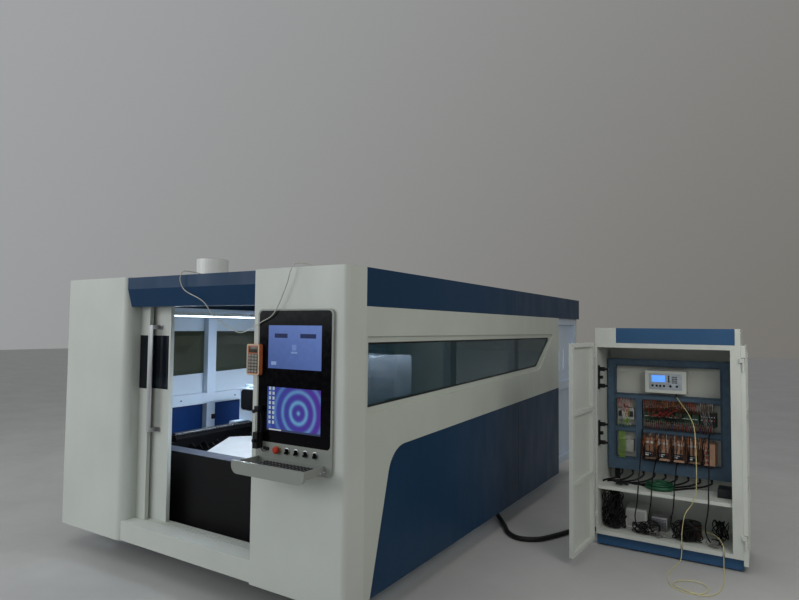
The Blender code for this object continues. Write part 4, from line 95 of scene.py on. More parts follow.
def add_camera():
    """Aim the scene's camera from its yaw, pitch and roll."""
    data = bpy.data.cameras.new("camera")
    data.sensor_width = SENSOR_WIDTH
    data.lens = FOCAL_PIXELS * SENSOR_WIDTH / PICTURE_WIDTH
    data.clip_end = CLIP_END
    camera = add_object("camera", data)
    camera.matrix_world = (
        Matrix.Translation(at(*CAMERA_PLACE)) @ Matrix.Rotation(-CAMERA_YAW, 4, "Z")
        @ Matrix.Rotation(math.pi / 2 + CAMERA_PITCH, 4, "X") @ Matrix.Rotation(-CAMERA_ROLL, 4, "Z"))
    bpy.context.scene.camera = camera
    return camera


camera = add_camera()
print("lens", round(camera.data.lens, 2), "mm")

# %% [markdown]
# A real finish is never one flat value, so every finish here is built from noise. The
# same few nodes come back each time: a noise, a ramp between two colours, a mix. A
# small class adds them in one line each. All of them read Object coordinates, so a
# pattern stays on its piece when the piece moves.

# %% Node helpers
class Tree:
    """A node tree with short ways to add nodes and feed their sockets."""

    def __init__(self, tree):
        self.tree = tree

    def feed(self, node, inputs):
        """Put numbers or colours on a node's sockets, or link other sockets to them."""
        for key, value in inputs.items():
            socket = node.inputs[key]
            if isinstance(value, bpy.types.NodeSocket):
                self.tree.links.new(value, socket)
            else:
                socket.default_value = (*value, 1.0) if socket.type == "RGBA" else value

    def node(self, kind, inputs=None, **settings):
        """A new node with its settings and inputs."""
        node = self.tree.nodes.new(kind)
        for name, value in settings.items():
            setattr(node, name, value)
        self.feed(node, inputs or {})
        return node

    def maths(self, kind, *values):
        """One sum on numbers or sockets."""
        return self.node("ShaderNodeMath", dict(enumerate(values)), operation=kind).outputs[0]

    def ramp(self, value, low, high, low_colour, high_colour):
        """Two colours blended over a span of a value."""
        node = self.node("ShaderNodeValToRGB", {"Fac": value})
        first, last = node.color_ramp.elements
        first.position, last.position = low, high
        first.color, last.color = (*low_colour, 1.0), (*high_colour, 1.0)
        return node.outputs["Color"]

    def mix(self, share, first, second, kind="MIX"):
        """Two colours mixed by a share. Sockets 6 and 7 are the mix node's colours."""
        inputs = {0: share, 6: first, 7: second}
        return self.node("ShaderNodeMix", inputs, data_type="RGBA", blend_type=kind).outputs[2]


class Finish(Tree):
    """A material whose shader is fed from Object coordinates."""

    def __init__(self, name):
        self.material = bpy.data.materials.new(name)
        self.material.use_nodes = True
        super().__init__(self.material.node_tree)
        self.shader = self.tree.nodes["Principled BSDF"]
        self.place = self.node("ShaderNodeTexCoord").outputs["Object"]

    def axis(self, number):
        """One coordinate of the place: 0 across, 1 along the machine, 2 up."""
        return self.node("ShaderNodeSeparateXYZ", {0: self.place}).outputs[number]

    def noise(self, scale, detail, stretch=None):
        """A noise value at some scale, in waves per metre, stretched where asked."""
        place = self.place
        if stretch:
            place = self.node("ShaderNodeMapping", {"Vector": place, "Scale": stretch}).outputs[0]
        inputs = {"Vector": place, "Scale": scale, "Detail": detail}
        return self.node("ShaderNodeTexNoise", inputs).outputs["Fac"]

    def spread(self, value, low, high):
        """A noise value, which stays near the middle, mapped to a working range."""
        inputs = {"Value": value, "From Min": 0.3, "From Max": 0.7, "To Min": low, "To Max": high}
        return self.node("ShaderNodeMapRange", inputs).outputs["Result"]

    def done(self, colour, roughness, **inputs):
        """Feed the shader: gloss, coat and the rest by their socket's name."""
        named = {key.replace("_", " "): value for key, value in inputs.items()}
        self.feed(self.shader, {"Base Color": colour, "Roughness": roughness, **named})
        return self.material

    def bump(self, height, distance, strength):
        """Turn a height into a bump on the shader."""
        inputs = {"Strength": strength, "Distance": distance, "Height": height}
        normal = self.node("ShaderNodeBump", inputs).outputs["Normal"]
        self.feed(self.shader, {"Normal": normal})


def shade(colour, factor):
    """A colour made darker or lighter."""
    return tuple(min(1.0, channel * factor) for channel in colour)


# %% [markdown]
# The sheet metal is sprayed in a booth. Sprayed enamel drifts a little in tone, holds
# fine dust in upright patches, and shows the faint orange peel that a spray gun leaves.
# Where one solid shows two colours, a mask on the place mixes the second one in. That
# keeps the solid whole. The dark seam between two sheets is a real joint. The bluer room
# side of a left wall and the lighter top of the bed's beam are painted light.

# %% Painted sheet metal
SEAM_DEPTH = 2.62 + FRONT_PLANE
SEAM_HALF = 0.0022
LEFT_ROOM_PLANE = -2.7455 + RIGHT_PLANE
BEAM_TOP, BEAM_BACK = 0.7735, 0.4098 + FRONT_PLANE
DUST_COLOUR = (0.2, 0.18, 0.15)


def seam(finish):
    """1 in the thin upright gap between two sheets of a side, 0 elsewhere."""
    return finish.maths("COMPARE", finish.axis(1), SEAM_DEPTH, SEAM_HALF)


def lamp_lit_room_side(finish):
    """1 on the room side of a left wall panel, where the blue light of the strip lamps is painted."""
    return finish.maths("GREATER_THAN", finish.axis(0), LEFT_ROOM_PLANE)


def painted_light_on_beam(finish):
    """1 on top of the bed's front beam, where painted light makes the black lighter and bluer."""
    return finish.maths("MULTIPLY", finish.maths("GREATER_THAN", finish.axis(2), BEAM_TOP),
                        finish.maths("LESS_THAN", finish.axis(1), BEAM_BACK))


def enamel(name, colour, roughness, dust=0.25, gloss=0.4, coat=0.1, dust_colour=DUST_COLOUR,
           over=()):
    """Sprayed paint: drift in tone, patches of dust, orange peel, and colours over masks."""
    finish = Finish(name)
    tone = finish.ramp(finish.noise(1.3, 3.0), 0.3, 0.7, shade(colour, 0.93), shade(colour, 1.05))
    patches = finish.noise(7.0, 8.0, (1.0, 1.0, 0.35))
    tone = finish.mix(finish.spread(patches, 0.0, dust * 0.35), tone, dust_colour)
    for mask, over_colour in over:
        tone = finish.mix(mask(finish), tone, over_colour)
    finish.bump(finish.noise(420.0, 2.0), 0.0004, 0.25)
    return finish.done(tone, finish.spread(patches, roughness - 0.06, roughness + 0.1),
                       Specular_IOR_Level=gloss, Coat_Weight=coat, Coat_Roughness=0.2)


dressed = set()


def dress(names, material):
    """Give packed solids their finish."""
    for name in names.split():
        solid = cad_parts[name]
        for slot in solid.material_slots:
            slot.material = material
        if not solid.material_slots:
            solid.data.materials.append(material)
        dressed.add(name)


# The side tone is the off-white paint made darker for the side panels: painted shade.
WHITE_TONE, SHADED_SIDE_TONE = (0.6, 0.63, 0.58), (0.54, 0.58, 0.52)
NAVY_TONE, BED_TONE = (0.0005, 0.032, 0.086), (0.005, 0.005, 0.006)
NAVY_SEAM = (seam, shade(NAVY_TONE, 0.12))

dress("right_front_column left_front_column door_sill door_leaf_slow door_leaf_fast rear_panel "
      "cabinet_door_left cabinet_door_right controller_box power_supply",
      enamel("off_white", WHITE_TONE, 0.42, 0.08))
dress("cabinet_shell",
      enamel("shell_white", WHITE_TONE, 0.42, 0.42, dust_colour=(0.16, 0.14, 0.11)))
# The right side panel takes the darker side tone: painted shade.
dress("right_side_panel", enamel("shaded_side_white", SHADED_SIDE_TONE, 0.42, 0.08))
# The left wall's room side gets a bluer white over the side tone: painted blue light of the strip
# lamps.
dress("left_side_panel",
      enamel("left_white_blue_lit", SHADED_SIDE_TONE, 0.42, 0.08, over=[(lamp_lit_room_side, (0.54, 0.62, 0.7))]))
# The frames inside the machine, its rear bay and gantry get a bluer white: the painted blue cast of the
# cold light inside the machine.
dress("inner_frame_right inner_frame_left rear_bay_frame rear_bay_panel gantry_beam "
      "carriage_cover", enamel("bay_white_blue_lit", (0.62, 0.72, 0.84), 0.45, 0.12))
dress("sheet_blank", enamel("film_white", (0.5, 0.51, 0.52), 0.35, 0.05))
# The duct's white is lighter than its paint, to stand in for light that reaches it too weakly: painted
# light.
dress("roof_duct", enamel("brightened_duct_white", (0.9, 0.91, 0.86), 0.35, 0.05))
dress("front_lintel", enamel("lintel_blue", (0.001, 0.036, 0.1), 0.4, 0.03, 0.2, 0.0))
dress("cabinet_fascia cabinet_plinth",
      enamel("cabinet_blue", (0.028, 0.092, 0.2), 0.42, 0.1, 0.25, 0.0))
dress("roof_cover right_lower_panel",
      enamel("navy", NAVY_TONE, 0.4, 0.04, 0.25, 0.05, over=[NAVY_SEAM]))
# The left lower panel's room side gets a bluer navy: painted blue light of the strip lamps.
dress("left_lower_panel", enamel("left_navy_blue_lit", NAVY_TONE, 0.4, 0.04, 0.25, 0.05,
                                 over=[NAVY_SEAM, (lamp_lit_room_side, (0.006, 0.035, 0.15))]))
dress("slat_table", enamel("bed_black", BED_TONE, 0.5, 0.05, 0.12, 0.0))
# The top of the black beam gets a lighter, bluer colour: painted light on its top.
dress("bed_frame", enamel("bed_paint_lit_top", BED_TONE, 0.5, 0.05, 0.12, 0.0,
                          over=[(painted_light_on_beam, (0.045, 0.056, 0.085))]))
dress("console_frame keyboard_tray", enamel("silver_grey", (0.29, 0.31, 0.28), 0.38, 0.2))
dress("mounting_plate", enamel("plate_grey", (0.52, 0.53, 0.48), 0.5, 0.3))
print(len(dressed), "solids painted")

# %% [markdown]
# Steel and copper are brushed along one direction, so their noise is drawn out that
# way. The windows are tinted sheets that show the room through a film of dust: some
# alpha does that at a fraction of the time that refraction takes.

# %% Metal and glass
def brushed(name, colour, roughness, stretch):
    """Metal with fine brush lines along one direction."""
    finish = Finish(name)
    lines = finish.noise(60.0, 6.0, stretch)
    finish.bump(lines, 0.0003, 0.3)
    return finish.done(finish.ramp(lines, 0.3, 0.7, shade(colour, 0.8), shade(colour, 1.12)),
                       finish.spread(lines, roughness - 0.08, roughness + 0.1), Metallic=1.0)


def pane(name, tint, clear):
    """Tinted glass that lets a share of the room show, with a film of dust."""
    finish = Finish(name)
    film = finish.noise(9.0, 7.0)
    return finish.done(finish.ramp(film, 0.35, 0.8, tint, shade(tint, 1.6)),
                       finish.spread(film, 0.03, 0.09), Alpha=1.0 - clear,
                       Specular_IOR_Level=0.35)


BARE_STEEL = brushed("bare_steel", (0.4, 0.4, 0.42), 0.3, (0.04, 1.0, 1.0))
dress("door_handle carriage cutting_head",
      brushed("brushed_steel", (0.45, 0.45, 0.46), 0.34, (1.0, 1.0, 0.04)))
dress("cutting_nozzle", brushed("copper", (0.6, 0.27, 0.14), 0.35, (1.0, 1.0, 0.1)))
dress("right_side_window", pane("smoked_glass", (0.002, 0.026, 0.034), 0.27))
dress("door_window_slow door_window_fast", pane("door_glass", (0.006, 0.009, 0.014), 0.12))
dress("left_side_window", pane("olive_glass", (0.034, 0.041, 0.024), 0.2))
print(len(dressed), "solids dressed")

# %% [markdown]
# Keys, knobs, ducts and wires are moulded plastic. A mould leaves a fine even grain,
# and hands leave marks that vary the tone and the roughness. Very dark plastics get
# less gloss, because the studio's light would turn them grey.

# %% Moulded plastic
def moulded(name, colour, roughness, gloss=0.35, grain=900.0, depth=0.0002):
    """Moulded plastic or rubber with a fine grain and handling marks."""
    finish = Finish(name)
    marks = finish.noise(25.0, 6.0)
    finish.bump(finish.noise(grain, 2.0), depth, 0.4)
    return finish.done(finish.ramp(marks, 0.3, 0.75, shade(colour, 0.85), shade(colour, 1.15)),
                       finish.spread(marks, roughness - 0.07, roughness + 0.1),
                       Specular_IOR_Level=gloss)


BLACK = moulded("black_plastic", (0.008, 0.008, 0.009), 0.45, 0.2)
RED = moulded("red_plastic", (0.52, 0.035, 0.012), 0.35)
WHITE_PLASTIC = moulded("white_plastic", (0.62, 0.64, 0.62), 0.42)
dress("gantry_front_cover selector_switch_1 selector_switch_2 selector_switch_3 "
      "selector_switch_4 keyboard clip_arm transformer", BLACK)
dress("emergency_stop", RED)
dress("console_pane", moulded("black_glass", (0.002, 0.002, 0.003), 0.15, 0.06, 300.0, 0.00002))
dress("pendant_remote", moulded("orange_plastic", (0.62, 0.16, 0.055), 0.45))
dress("wire_trunking", moulded("trunking_plastic", (0.062, 0.105, 0.155), 0.5, 0.25))
dress("drive_row", moulded("beige_plastic", (0.46, 0.27, 0.18), 0.5))
dress("cable_coil", moulded("green_plastic", (0.01, 0.085, 0.035), 0.5))
dress("terminal_row", moulded("dark_green_plastic", (0.022, 0.05, 0.028), 0.5))
print(len(dressed), "solids dressed")

# %% [markdown]
# Wires and cables follow smooth lines through a few measured points. A Catmull-Rom
# curve passes through every point that it is given, which a Bezier curve would need
# handles for. Its steps are then evened out, so that all rings of a wire lie equally
# far apart.

# %% Smooth lines
CURVE_STEPS = 16  # straight steps between two points of a route, before they are evened out


def smooth_line(route, count):
    """Even points along a Catmull-Rom curve through a route."""
    knots = [Vector(point) for point in route]
    padded = [2 * knots[0] - knots[1], *knots, 2 * knots[-1] - knots[-2]]
    fine = []
    for index in range(1, len(padded) - 2):
        before, start, end, after = padded[index - 1:index + 3]
        for step in range(CURVE_STEPS):
            t = step / CURVE_STEPS
            fine.append(0.5 * (2 * start + (end - before) * t
                               + (2 * before - 5 * start + 4 * end - after) * t ** 2
                               + (3 * start - before - 3 * end + after) * t ** 3))
    fine.append(knots[-1])
    lengths = [0.0]
    for first, second in zip(fine, fine[1:]):
        lengths.append(lengths[-1] + (second - first).length)
    points, cursor = [], 0
    for step in range(count):
        goal = lengths[-1] * step / (count - 1)
        while cursor < len(fine) - 2 and lengths[cursor + 1] < goal:
            cursor += 1
        share = (goal - lengths[cursor]) / (lengths[cursor + 1] - lengths[cursor])
        points.append(fine[cursor].lerp(fine[cursor + 1], share))
    return points


print("middle of a line", smooth_line(((0, 0, 0), (1, 0, 0)), 3)[1])

# %% [markdown]
# Small pieces could be made with operators and modifiers, but hundreds of them would be
# slow. Here they are gathered in bmesh: blocks with rounded edges, rods, turned forms,
# slabs and rings from an outline, and wires. Most of these are rings of points with
# faces between them, so one method makes those faces. A Form becomes one mesh in one
# finish, and rides on the body that carries it.

# %% Forms
SHARP_ANGLE = math.radians(35.0)
UPWARDS = Vector((0, 0, 1))
made = []  # names of the finished small pieces


def on_circle(share):
    """Cosine and sine of a share of a full turn."""
    return math.cos(2 * math.pi * share), math.sin(2 * math.pi * share)


class Form:
    """Closed forms gathered into one mesh, in the machine's own frame."""

    def __init__(self, name, material, body="machine"):
        self.name, self.material, self.body = name, material, body
        self.work = bmesh.new()

    def skin(self, rings, closed=False):
        """Faces between rings of points, closed by caps or by joining the last to the first."""
        rings = [[self.work.verts.new(point) for point in ring] for ring in rings]
        for first, second in zip(rings, rings[1:] + rings[:1] if closed else rings[1:]):
            for index in range(len(first)):
                after = (index + 1) % len(first)
                self.work.faces.new((first[index], first[after], second[after], second[index]))
        if not closed:
            self.work.faces.new(rings[0][::-1])
            self.work.faces.new(rings[-1])
        return self

    def block(self, low, high, edge=0.0):
        """A block between two corners, its edges rounded."""
        low, high = Vector(low), Vector(high)
        made = bmesh.ops.create_cube(self.work, size=1.0)["verts"]
        for vertex in made:
            vertex.co = (low + high) / 2 + vertex.co * (high - low)
        if edge > 0.0:
            edges = list({link for vertex in made for link in vertex.link_edges})
            bmesh.ops.bevel(self.work, geom=edges, offset=edge, segments=2, affect="EDGES",
                            profile=0.5, clamp_overlap=True)
        return self

    def rod(self, start, end, radius, sides):
        """A round rod between two places."""
        start, end = Vector(start), Vector(end)
        turn = UPWARDS.rotation_difference((end - start).normalized()).to_matrix().to_4x4()
        bmesh.ops.create_cone(
            self.work, cap_ends=True, segments=sides, radius1=radius, radius2=radius,
            depth=(end - start).length, matrix=Matrix.Translation((start + end) / 2) @ turn)
        return self

    def lathe(self, base, axis, profile, sides, closed=False):
        """A turned form from (radius, height) points along an axis."""
        turn = UPWARDS.rotation_difference(Vector(axis)).to_matrix()
        return self.skin([[
            Vector(base) + turn @ Vector((radius * across, radius * up, height))
            for across, up in (on_circle(side / sides) for side in range(sides))
        ] for radius, height in profile], closed)

    def slab(self, outline, start, end):
        """An outline of (x, z) points given thickness along y."""
        return self.skin([[(x, y, z) for x, z in outline] for y in (start, end)])

    def band(self, place, outer, inner, start, end):
        """A flat ring between two outlines, given thickness by a function that places points."""
        return self.skin([[place(*point, along) for point in line] for line, along in (
            (outer, start), (inner, start), (inner, end), (outer, end))], closed=True)

    def wire(self, route, radius, sides, count, tip=None):
        """A round wire along a smooth line, tapered where a tip radius is given."""
        tip = radius if tip is None else tip
        points = smooth_line(route, count)
        side_way = None
        rings = []
        for index, point in enumerate(points):
            ahead = points[min(index + 1, count - 1)] - points[max(index - 1, 0)]
            ahead.normalize()
            if side_way is None:
                side_way = ahead.orthogonal().normalized()
            side_way = (side_way - ahead * side_way.dot(ahead)).normalized()
            up_way = ahead.cross(side_way)
            width = radius + (tip - radius) * index / (count - 1)
            turns = [on_circle(side / sides) for side in range(sides)]
            rings.append([point + width * (a * side_way + b * up_way) for a, b in turns])
        return self.skin(rings)

    def mesh_object(self, shift=True):
        """The gathered mesh as an object, before it rides on anything."""
        bmesh.ops.recalc_face_normals(self.work, faces=self.work.faces[:])
        if shift:
            for vertex in self.work.verts:
                vertex.co = at(*vertex.co)
        mesh = bpy.data.meshes.new(self.name)
        self.work.to_mesh(mesh)
        self.work.free()
        mesh.shade_smooth()
        mesh.set_sharp_from_angle(angle=SHARP_ANGLE)
        mesh.materials.append(self.material)
        return add_object(self.name, mesh)

    def done(self):
        """Finish the mesh and hang it on its body."""
        thing = self.mesh_object()
        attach(thing, self.body)
        made.append(self.name)


def box(name, material, low, high, edge=0.0):
    """One rounded block as a piece of its own."""
    Form(name, material).block(low, high, edge).done()


print("a form can be", ", ".join(name for name in vars(Form) if name[0] != "_"))

# %% [markdown]
# What repeats is set out by Geometry Nodes: points in rows, one copy of a small form on
# each, then real geometry again. Keys, duct slots, dots and bellows folds all use it,
# because a changed pitch or count then is one number, and no copy can be out of line.

# %% Rows of copies with Geometry Nodes
def row_group():
    """A node group that sets out copies of a piece in rows."""
    group = bpy.data.node_groups.new("rows_of_pieces", "GeometryNodeTree")
    for name, kind in (("Piece", "Object"), ("Finish", "Material"), ("Start", "Vector"),
                       ("Across", "Int"), ("Step Across", "Vector"), ("Along", "Int"),
                       ("Step Along", "Vector")):
        group.interface.new_socket(name, in_out="INPUT", socket_type="NodeSocket" + kind)
    group.interface.new_socket("Geometry", in_out="OUTPUT", socket_type="NodeSocketGeometry")
    tree = Tree(group)
    given = tree.node("NodeGroupInput").outputs

    def scaled(step, factor):
        inputs = {0: given[step], "Scale": factor}
        return tree.node("ShaderNodeVectorMath", inputs, operation="SCALE").outputs[0]

    def added(first, second):
        inputs = {0: first, 1: second}
        return tree.node("ShaderNodeVectorMath", inputs, operation="ADD").outputs[0]

    number = tree.node("GeometryNodeInputIndex").outputs[0]
    column = tree.maths("MODULO", number, given["Across"])
    row = tree.maths("FLOOR", tree.maths("DIVIDE", number, given["Across"]))
    places = added(given["Start"], added(scaled("Step Across", column), scaled("Step Along", row)))
    count = tree.maths("MULTIPLY", given["Across"], given["Along"])
    points = tree.node("GeometryNodePoints", {"Count": count, "Position": places})
    piece = tree.node("GeometryNodeObjectInfo", {"Object": given["Piece"]})
    copies = tree.node("GeometryNodeInstanceOnPoints", {
        "Points": points.outputs[0], "Instance": piece.outputs["Geometry"]})
    real = tree.node("GeometryNodeRealizeInstances", {0: copies.outputs[0]})
    finish = tree.node("GeometryNodeSetMaterial", {
        "Geometry": real.outputs[0], "Material": given["Finish"]})
    tree.node("NodeGroupOutput", {0: finish.outputs[0]})
    return group


ROWS = row_group()


def rows(name, piece, start, across, step_across, along=1, step_along=(0, 0, 0), body="machine"):
    """Set out copies of a small form in rows, as one mesh that rides on a body."""
    sample = piece.mesh_object(shift=False)
    host = add_object(name, bpy.data.meshes.new(name))
    step = host.modifiers.new("rows", "NODES")
    step.node_group = ROWS
    values = {
        "Piece": sample, "Finish": piece.material, "Start": tuple(at(*start)), "Across": across,
        "Step Across": step_across, "Along": along, "Step Along": step_along,
    }
    for socket in ROWS.interface.items_tree:
        if socket.item_type == "SOCKET" and socket.in_out == "INPUT":
            step[socket.identifier] = values[socket.name]
    bpy.context.view_layer.update()
    graph = bpy.context.evaluated_depsgraph_get()
    mesh = bpy.data.meshes.new_from_object(host.evaluated_get(graph))
    bpy.data.objects.remove(host, do_unlink=True)
    bpy.data.objects.remove(sample, do_unlink=True)
    mesh.name = name
    thing = add_object(name, mesh)
    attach(thing, body)
    made.append(name)


print(len(ROWS.nodes), "nodes in the group for rows")

# %% [markdown]
# Three cables hang or lie free. Each follows the same route as its solid in the packed
# model, and stands in for it. A round curve is enough for a cable, and its length can
# be measured: about 2.1 m over the doorway, 3.7 m from the controller round on the
# floor to the transformer, and 1.7 m of floor cable.

# %% Cable routes
HANGING_ROUTE = [
    (-1.3, 0.3, 2.0603), (-1.33, 0.22, 2.0603), (-1.36, 0.14, 2.0633), (-1.376, 0.05, 2.0753),
    (-1.381, -0.01, 2.0723), (-1.385, -0.028, 2.04), (-1.386, -0.026, 2.000), (-1.345, -0.018, 1.94),
    (-1.165, -0.02, 1.867), (-1.06, -0.02, 1.773), (-0.875, -0.024, 1.683), (-0.772, -0.026, 1.672),
    (-0.628, -0.028, 1.732), (-0.522, -0.028, 1.789), (-0.43, -0.028, 1.95), (-0.4, -0.03, 2.03),
    (-0.378, -0.014, 2.0763), (-0.345, 0.045, 2.0793), (-0.29, 0.11, 2.0663), (-0.22, 0.17, 2.0613),
    (-0.17, 0.21, 2.0603), (-0.12, 0.26, 2.0603),
]
PATCH_ROUTE = [
    (1.328, 2.59, 1.2034), (1.328, 2.59, 1.192), (1.333, 2.586, 1.175), (1.379, 2.54, 1.119),
    (1.4286, 2.48, 1.06), (1.472, 2.4, 0.979), (1.489, 2.33, 0.859), (1.495, 2.295, 0.72),
    (1.495, 2.2905, 0.606), (1.488, 2.2905, 0.5), (1.459, 2.2905, 0.422), (1.416, 2.2905, 0.35),
    (1.394, 2.2905, 0.22), (1.392, 2.291, 0.12), (1.39, 2.2905, 0.058), (1.384, 2.27, 0.014),
    (1.372, 2.22, 0.00305), (1.345, 2.06, 0.00305), (1.345, 1.9, 0.00305), (1.39, 1.78, 0.00305),
    (1.475, 1.728, 0.00305), (1.57, 1.76, 0.00405), (1.6, 1.86, 0.01105), (1.54, 1.93, 0.01205),
    (1.45, 1.92, 0.00705), (1.4, 1.86, 0.00705), (1.405, 1.795, 0.00955), (1.47, 1.752, 0.01005),
    (1.575, 1.722, 0.00955), (1.645, 1.8, 0.00405), (1.675, 1.95, 0.00305), (1.678, 2.12, 0.00305),
    (1.672, 2.22, 0.00305), (1.667, 2.27, 0.014), (1.665, 2.2905, 0.058), (1.665, 2.2915, 0.12),
    (1.66, 2.31, 0.165), (1.62, 2.41, 0.186), (1.57, 2.485, 0.182), (1.54, 2.5, 0.18),
    (1.52, 2.5, 0.18), (1.5056, 2.5, 0.18),
]
FLOOR_ROUTE = [
    (-0.4144, 2.45, 0.225), (-0.35, 2.45, 0.225), (-0.3, 2.45, 0.215), (-0.2, 2.43, 0.13),
    (-0.11, 2.39, 0.06), (0.0, 2.28, 0.0193), (0.1, 2.12, 0.0193), (0.22, 2.04, 0.0193),
    (0.36, 2.1, 0.0193), (0.46, 2.28, 0.0193), (0.54, 2.46, 0.0193), (0.64, 2.555, 0.0203),
    (0.7, 2.57, 0.0313), (0.74, 2.57, 0.0333), (0.7747, 2.57, 0.0333),
]
print(len(HANGING_ROUTE), len(PATCH_ROUTE), len(FLOOR_ROUTE), "places on the routes")

# %% Cables
EXIT_SHARE = 1.2  # straight run at each end, in diameters
FLOOR_GAP = 0.0003


def cable(name, route, diameter, count, material, node):
    """One free cable as a round curve, which stands in for the packed solid that it hides."""
    run = diameter * EXIT_SHARE
    start, first = Vector(route[0]), Vector(route[1])
    end, last = Vector(route[-1]), Vector(route[-2])
    near_start = start + (first - start).normalized() * run
    near_end = end + (last - end).normalized() * run
    inner = smooth_line([near_start, *route[1:-1], near_end], count)
    for place in inner:
        place.z = max(place.z, diameter / 2 + FLOOR_GAP)
    points = [at(*place) for place in [start, *inner, end]]
    curve = bpy.data.curves.new(name, "CURVE")
    curve.dimensions = "3D"
    curve.bevel_depth = diameter / 2
    curve.bevel_resolution = 4
    curve.use_fill_caps = True
    spline = curve.splines.new("POLY")
    spline.points.add(len(points) - 1)
    for point, place in zip(spline.points, points):
        point.co = (*place, 1.0)
    spline.use_smooth = True
    curve.materials.append(material)
    thing = add_object(name, curve)
    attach(thing, "machine")
    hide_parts(node)


CORD_BLACK = moulded("black_cable", (0.008, 0.008, 0.009), 0.5)
cable("hanging_lead", HANGING_ROUTE, 0.006, 160, moulded("white_cable", (0.52, 0.52, 0.46), 0.5),
      "hanging_cable")
cable("patch_lead", PATCH_ROUTE, 0.0055, 300, moulded("yellow_cable", (0.66, 0.6, 0.28), 0.5),
      "patch_cable")
cable("floor_lead", FLOOR_ROUTE, 0.038, 110, CORD_BLACK, "floor_cable")

# %% [markdown]
# Where a cable leaves a unit, a rubber relief keeps it from kinking. It is a sleeve that
# gets thinner along the cable, so a tapered wire or a turned form makes it.

# %% Cable reliefs
RELIEF = moulded("relief_rubber", (0.012, 0.012, 0.012), 0.6, 0.2)
Form("patch_relief", RELIEF).wire(
    ((1.328, 2.59, 1.2036), (1.328, 2.59, 1.198), PATCH_ROUTE[1], (1.3297, 2.5887, 1.184),
     PATCH_ROUTE[2]), 0.0056, 14, 14, 0.0032).done()
for name, place, way, profile in (
    ("floor_relief_bed", FLOOR_ROUTE[0], 1, (
        (0.03, 0.0), (0.03, 0.008), (0.026, 0.009), (0.025, 0.022), (0.0225, 0.04),
        (0.0196, 0.058))),
    ("floor_relief_cabinet", FLOOR_ROUTE[-1], -1, (
        (0.0208, 0.0), (0.0208, 0.006), (0.0203, 0.007), (0.0201, 0.02), (0.0195, 0.036))),
):
    Form(name, RELIEF).lathe(place, (way, 0, 0), profile, 28).done()
    print(name, "at", place)

# %% [markdown]
# The two screens of the console are drawn by their shaders. A picture file would bring
# its own pixels and rights, and a shader needs neither: two shares say how far across
# and up the screen a point is, and masks make bars and tiles of them. The upper screen
# is a calm blue, the lower one a violet ground with soft rings. Both shine a little.

# %% Screens
class Screen(Finish):
    """A lit screen that knows how far across and up its solid a point is."""

    def __init__(self, name, node):
        super().__init__(name)
        low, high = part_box(node)
        self.across, self.up = (
            self.maths("DIVIDE", self.maths("SUBTRACT", self.axis(axis), low[axis]),
                       high[axis] - low[axis]) for axis in (0, 2))

    def inside(self, left, right, low, high):
        """1 inside a rectangle of the shares, 0 outside."""
        mask = self.maths("GREATER_THAN", self.across, left)
        for kind, value, limit in (("LESS_THAN", self.across, right),
                                   ("GREATER_THAN", self.up, low), ("LESS_THAN", self.up, high)):
            mask = self.maths("MULTIPLY", mask, self.maths(kind, value, limit))
        return mask

    def lit(self, picture, strength):
        """The picture behind a film of dust, shining."""
        film = self.spread(self.noise(30.0, 5.0), 0.94, 1.03)
        return self.done((0.01, 0.01, 0.012), 0.2, Specular_IOR_Level=0.1,
                         Emission_Color=self.mix(1.0, picture, film, "MULTIPLY"),
                         Emission_Strength=strength)


def upper_picture(screen):
    """A blue sheet with two dark bars and a few small marks."""
    sums = screen.maths
    slope = sums("ADD", sums("MULTIPLY", screen.up, 0.6), sums("MULTIPLY", screen.across, 0.4))
    tone = screen.ramp(slope, 0.1, 0.95, (0.075, 0.13, 0.36), (0.13, 0.22, 0.56))
    for *span, colour in (
        (0.12, 0.37, 0.71, 0.81, (0.012, 0.022, 0.09)),
        (0.61, 0.9, 0.71, 0.81, (0.012, 0.022, 0.09)),
        (0.06, 0.16, 0.08, 0.16, (0.25, 0.36, 0.62)),
        (0.44, 0.56, 0.36, 0.4, (0.22, 0.32, 0.6)),
        (0.46, 0.54, 0.43, 0.56, (0.17, 0.26, 0.56)),
    ):
        tone = screen.mix(screen.inside(*span), tone, colour)
    return tone


def lower_picture(screen):
    """A violet ground with soft rings, two columns of tiles and a pale bar."""
    sums = screen.maths
    ground = screen.ramp(screen.across, 0.0, 1.0, (0.03, 0.055, 0.3), (0.075, 0.028, 0.3))
    offset = sums("SUBTRACT", screen.across, 0.6)
    rise = sums("MULTIPLY", sums("SUBTRACT", screen.up, 0.45), 0.62)
    reach = sums("SQRT", sums("ADD", sums("MULTIPLY", offset, offset), sums("MULTIPLY", rise, rise)))
    wave = sums("POWER", sums("ABSOLUTE", sums("COSINE", sums("MULTIPLY", reach, 21.0))), 5.0)
    fade = sums("MULTIPLY", wave, sums("SUBTRACT", 0.85, sums("MULTIPLY", reach, 1.2)))
    tone = screen.mix(sums("MAXIMUM", fade, 0.0), ground, (0.16, 0.48, 0.72))
    cells = sums("FRACT", sums("MULTIPLY", screen.up, 9.0))
    filled = sums("MULTIPLY", sums("GREATER_THAN", cells, 0.35),
                  sums("GREATER_THAN", screen.up, 0.12))
    for left, right in ((0.03, 0.07), (0.1, 0.14)):
        column = sums("MULTIPLY", screen.inside(left, right, 0.0, 1.0), filled)
        tone = screen.mix(column, tone, (0.42, 0.5, 0.55))
    tone = screen.mix(screen.inside(0.0, 1.0, 0.0, 0.045), tone, (0.035, 0.05, 0.12))
    return screen.mix(screen.inside(0.04, 0.28, 0.008, 0.036), tone, (0.55, 0.58, 0.6))


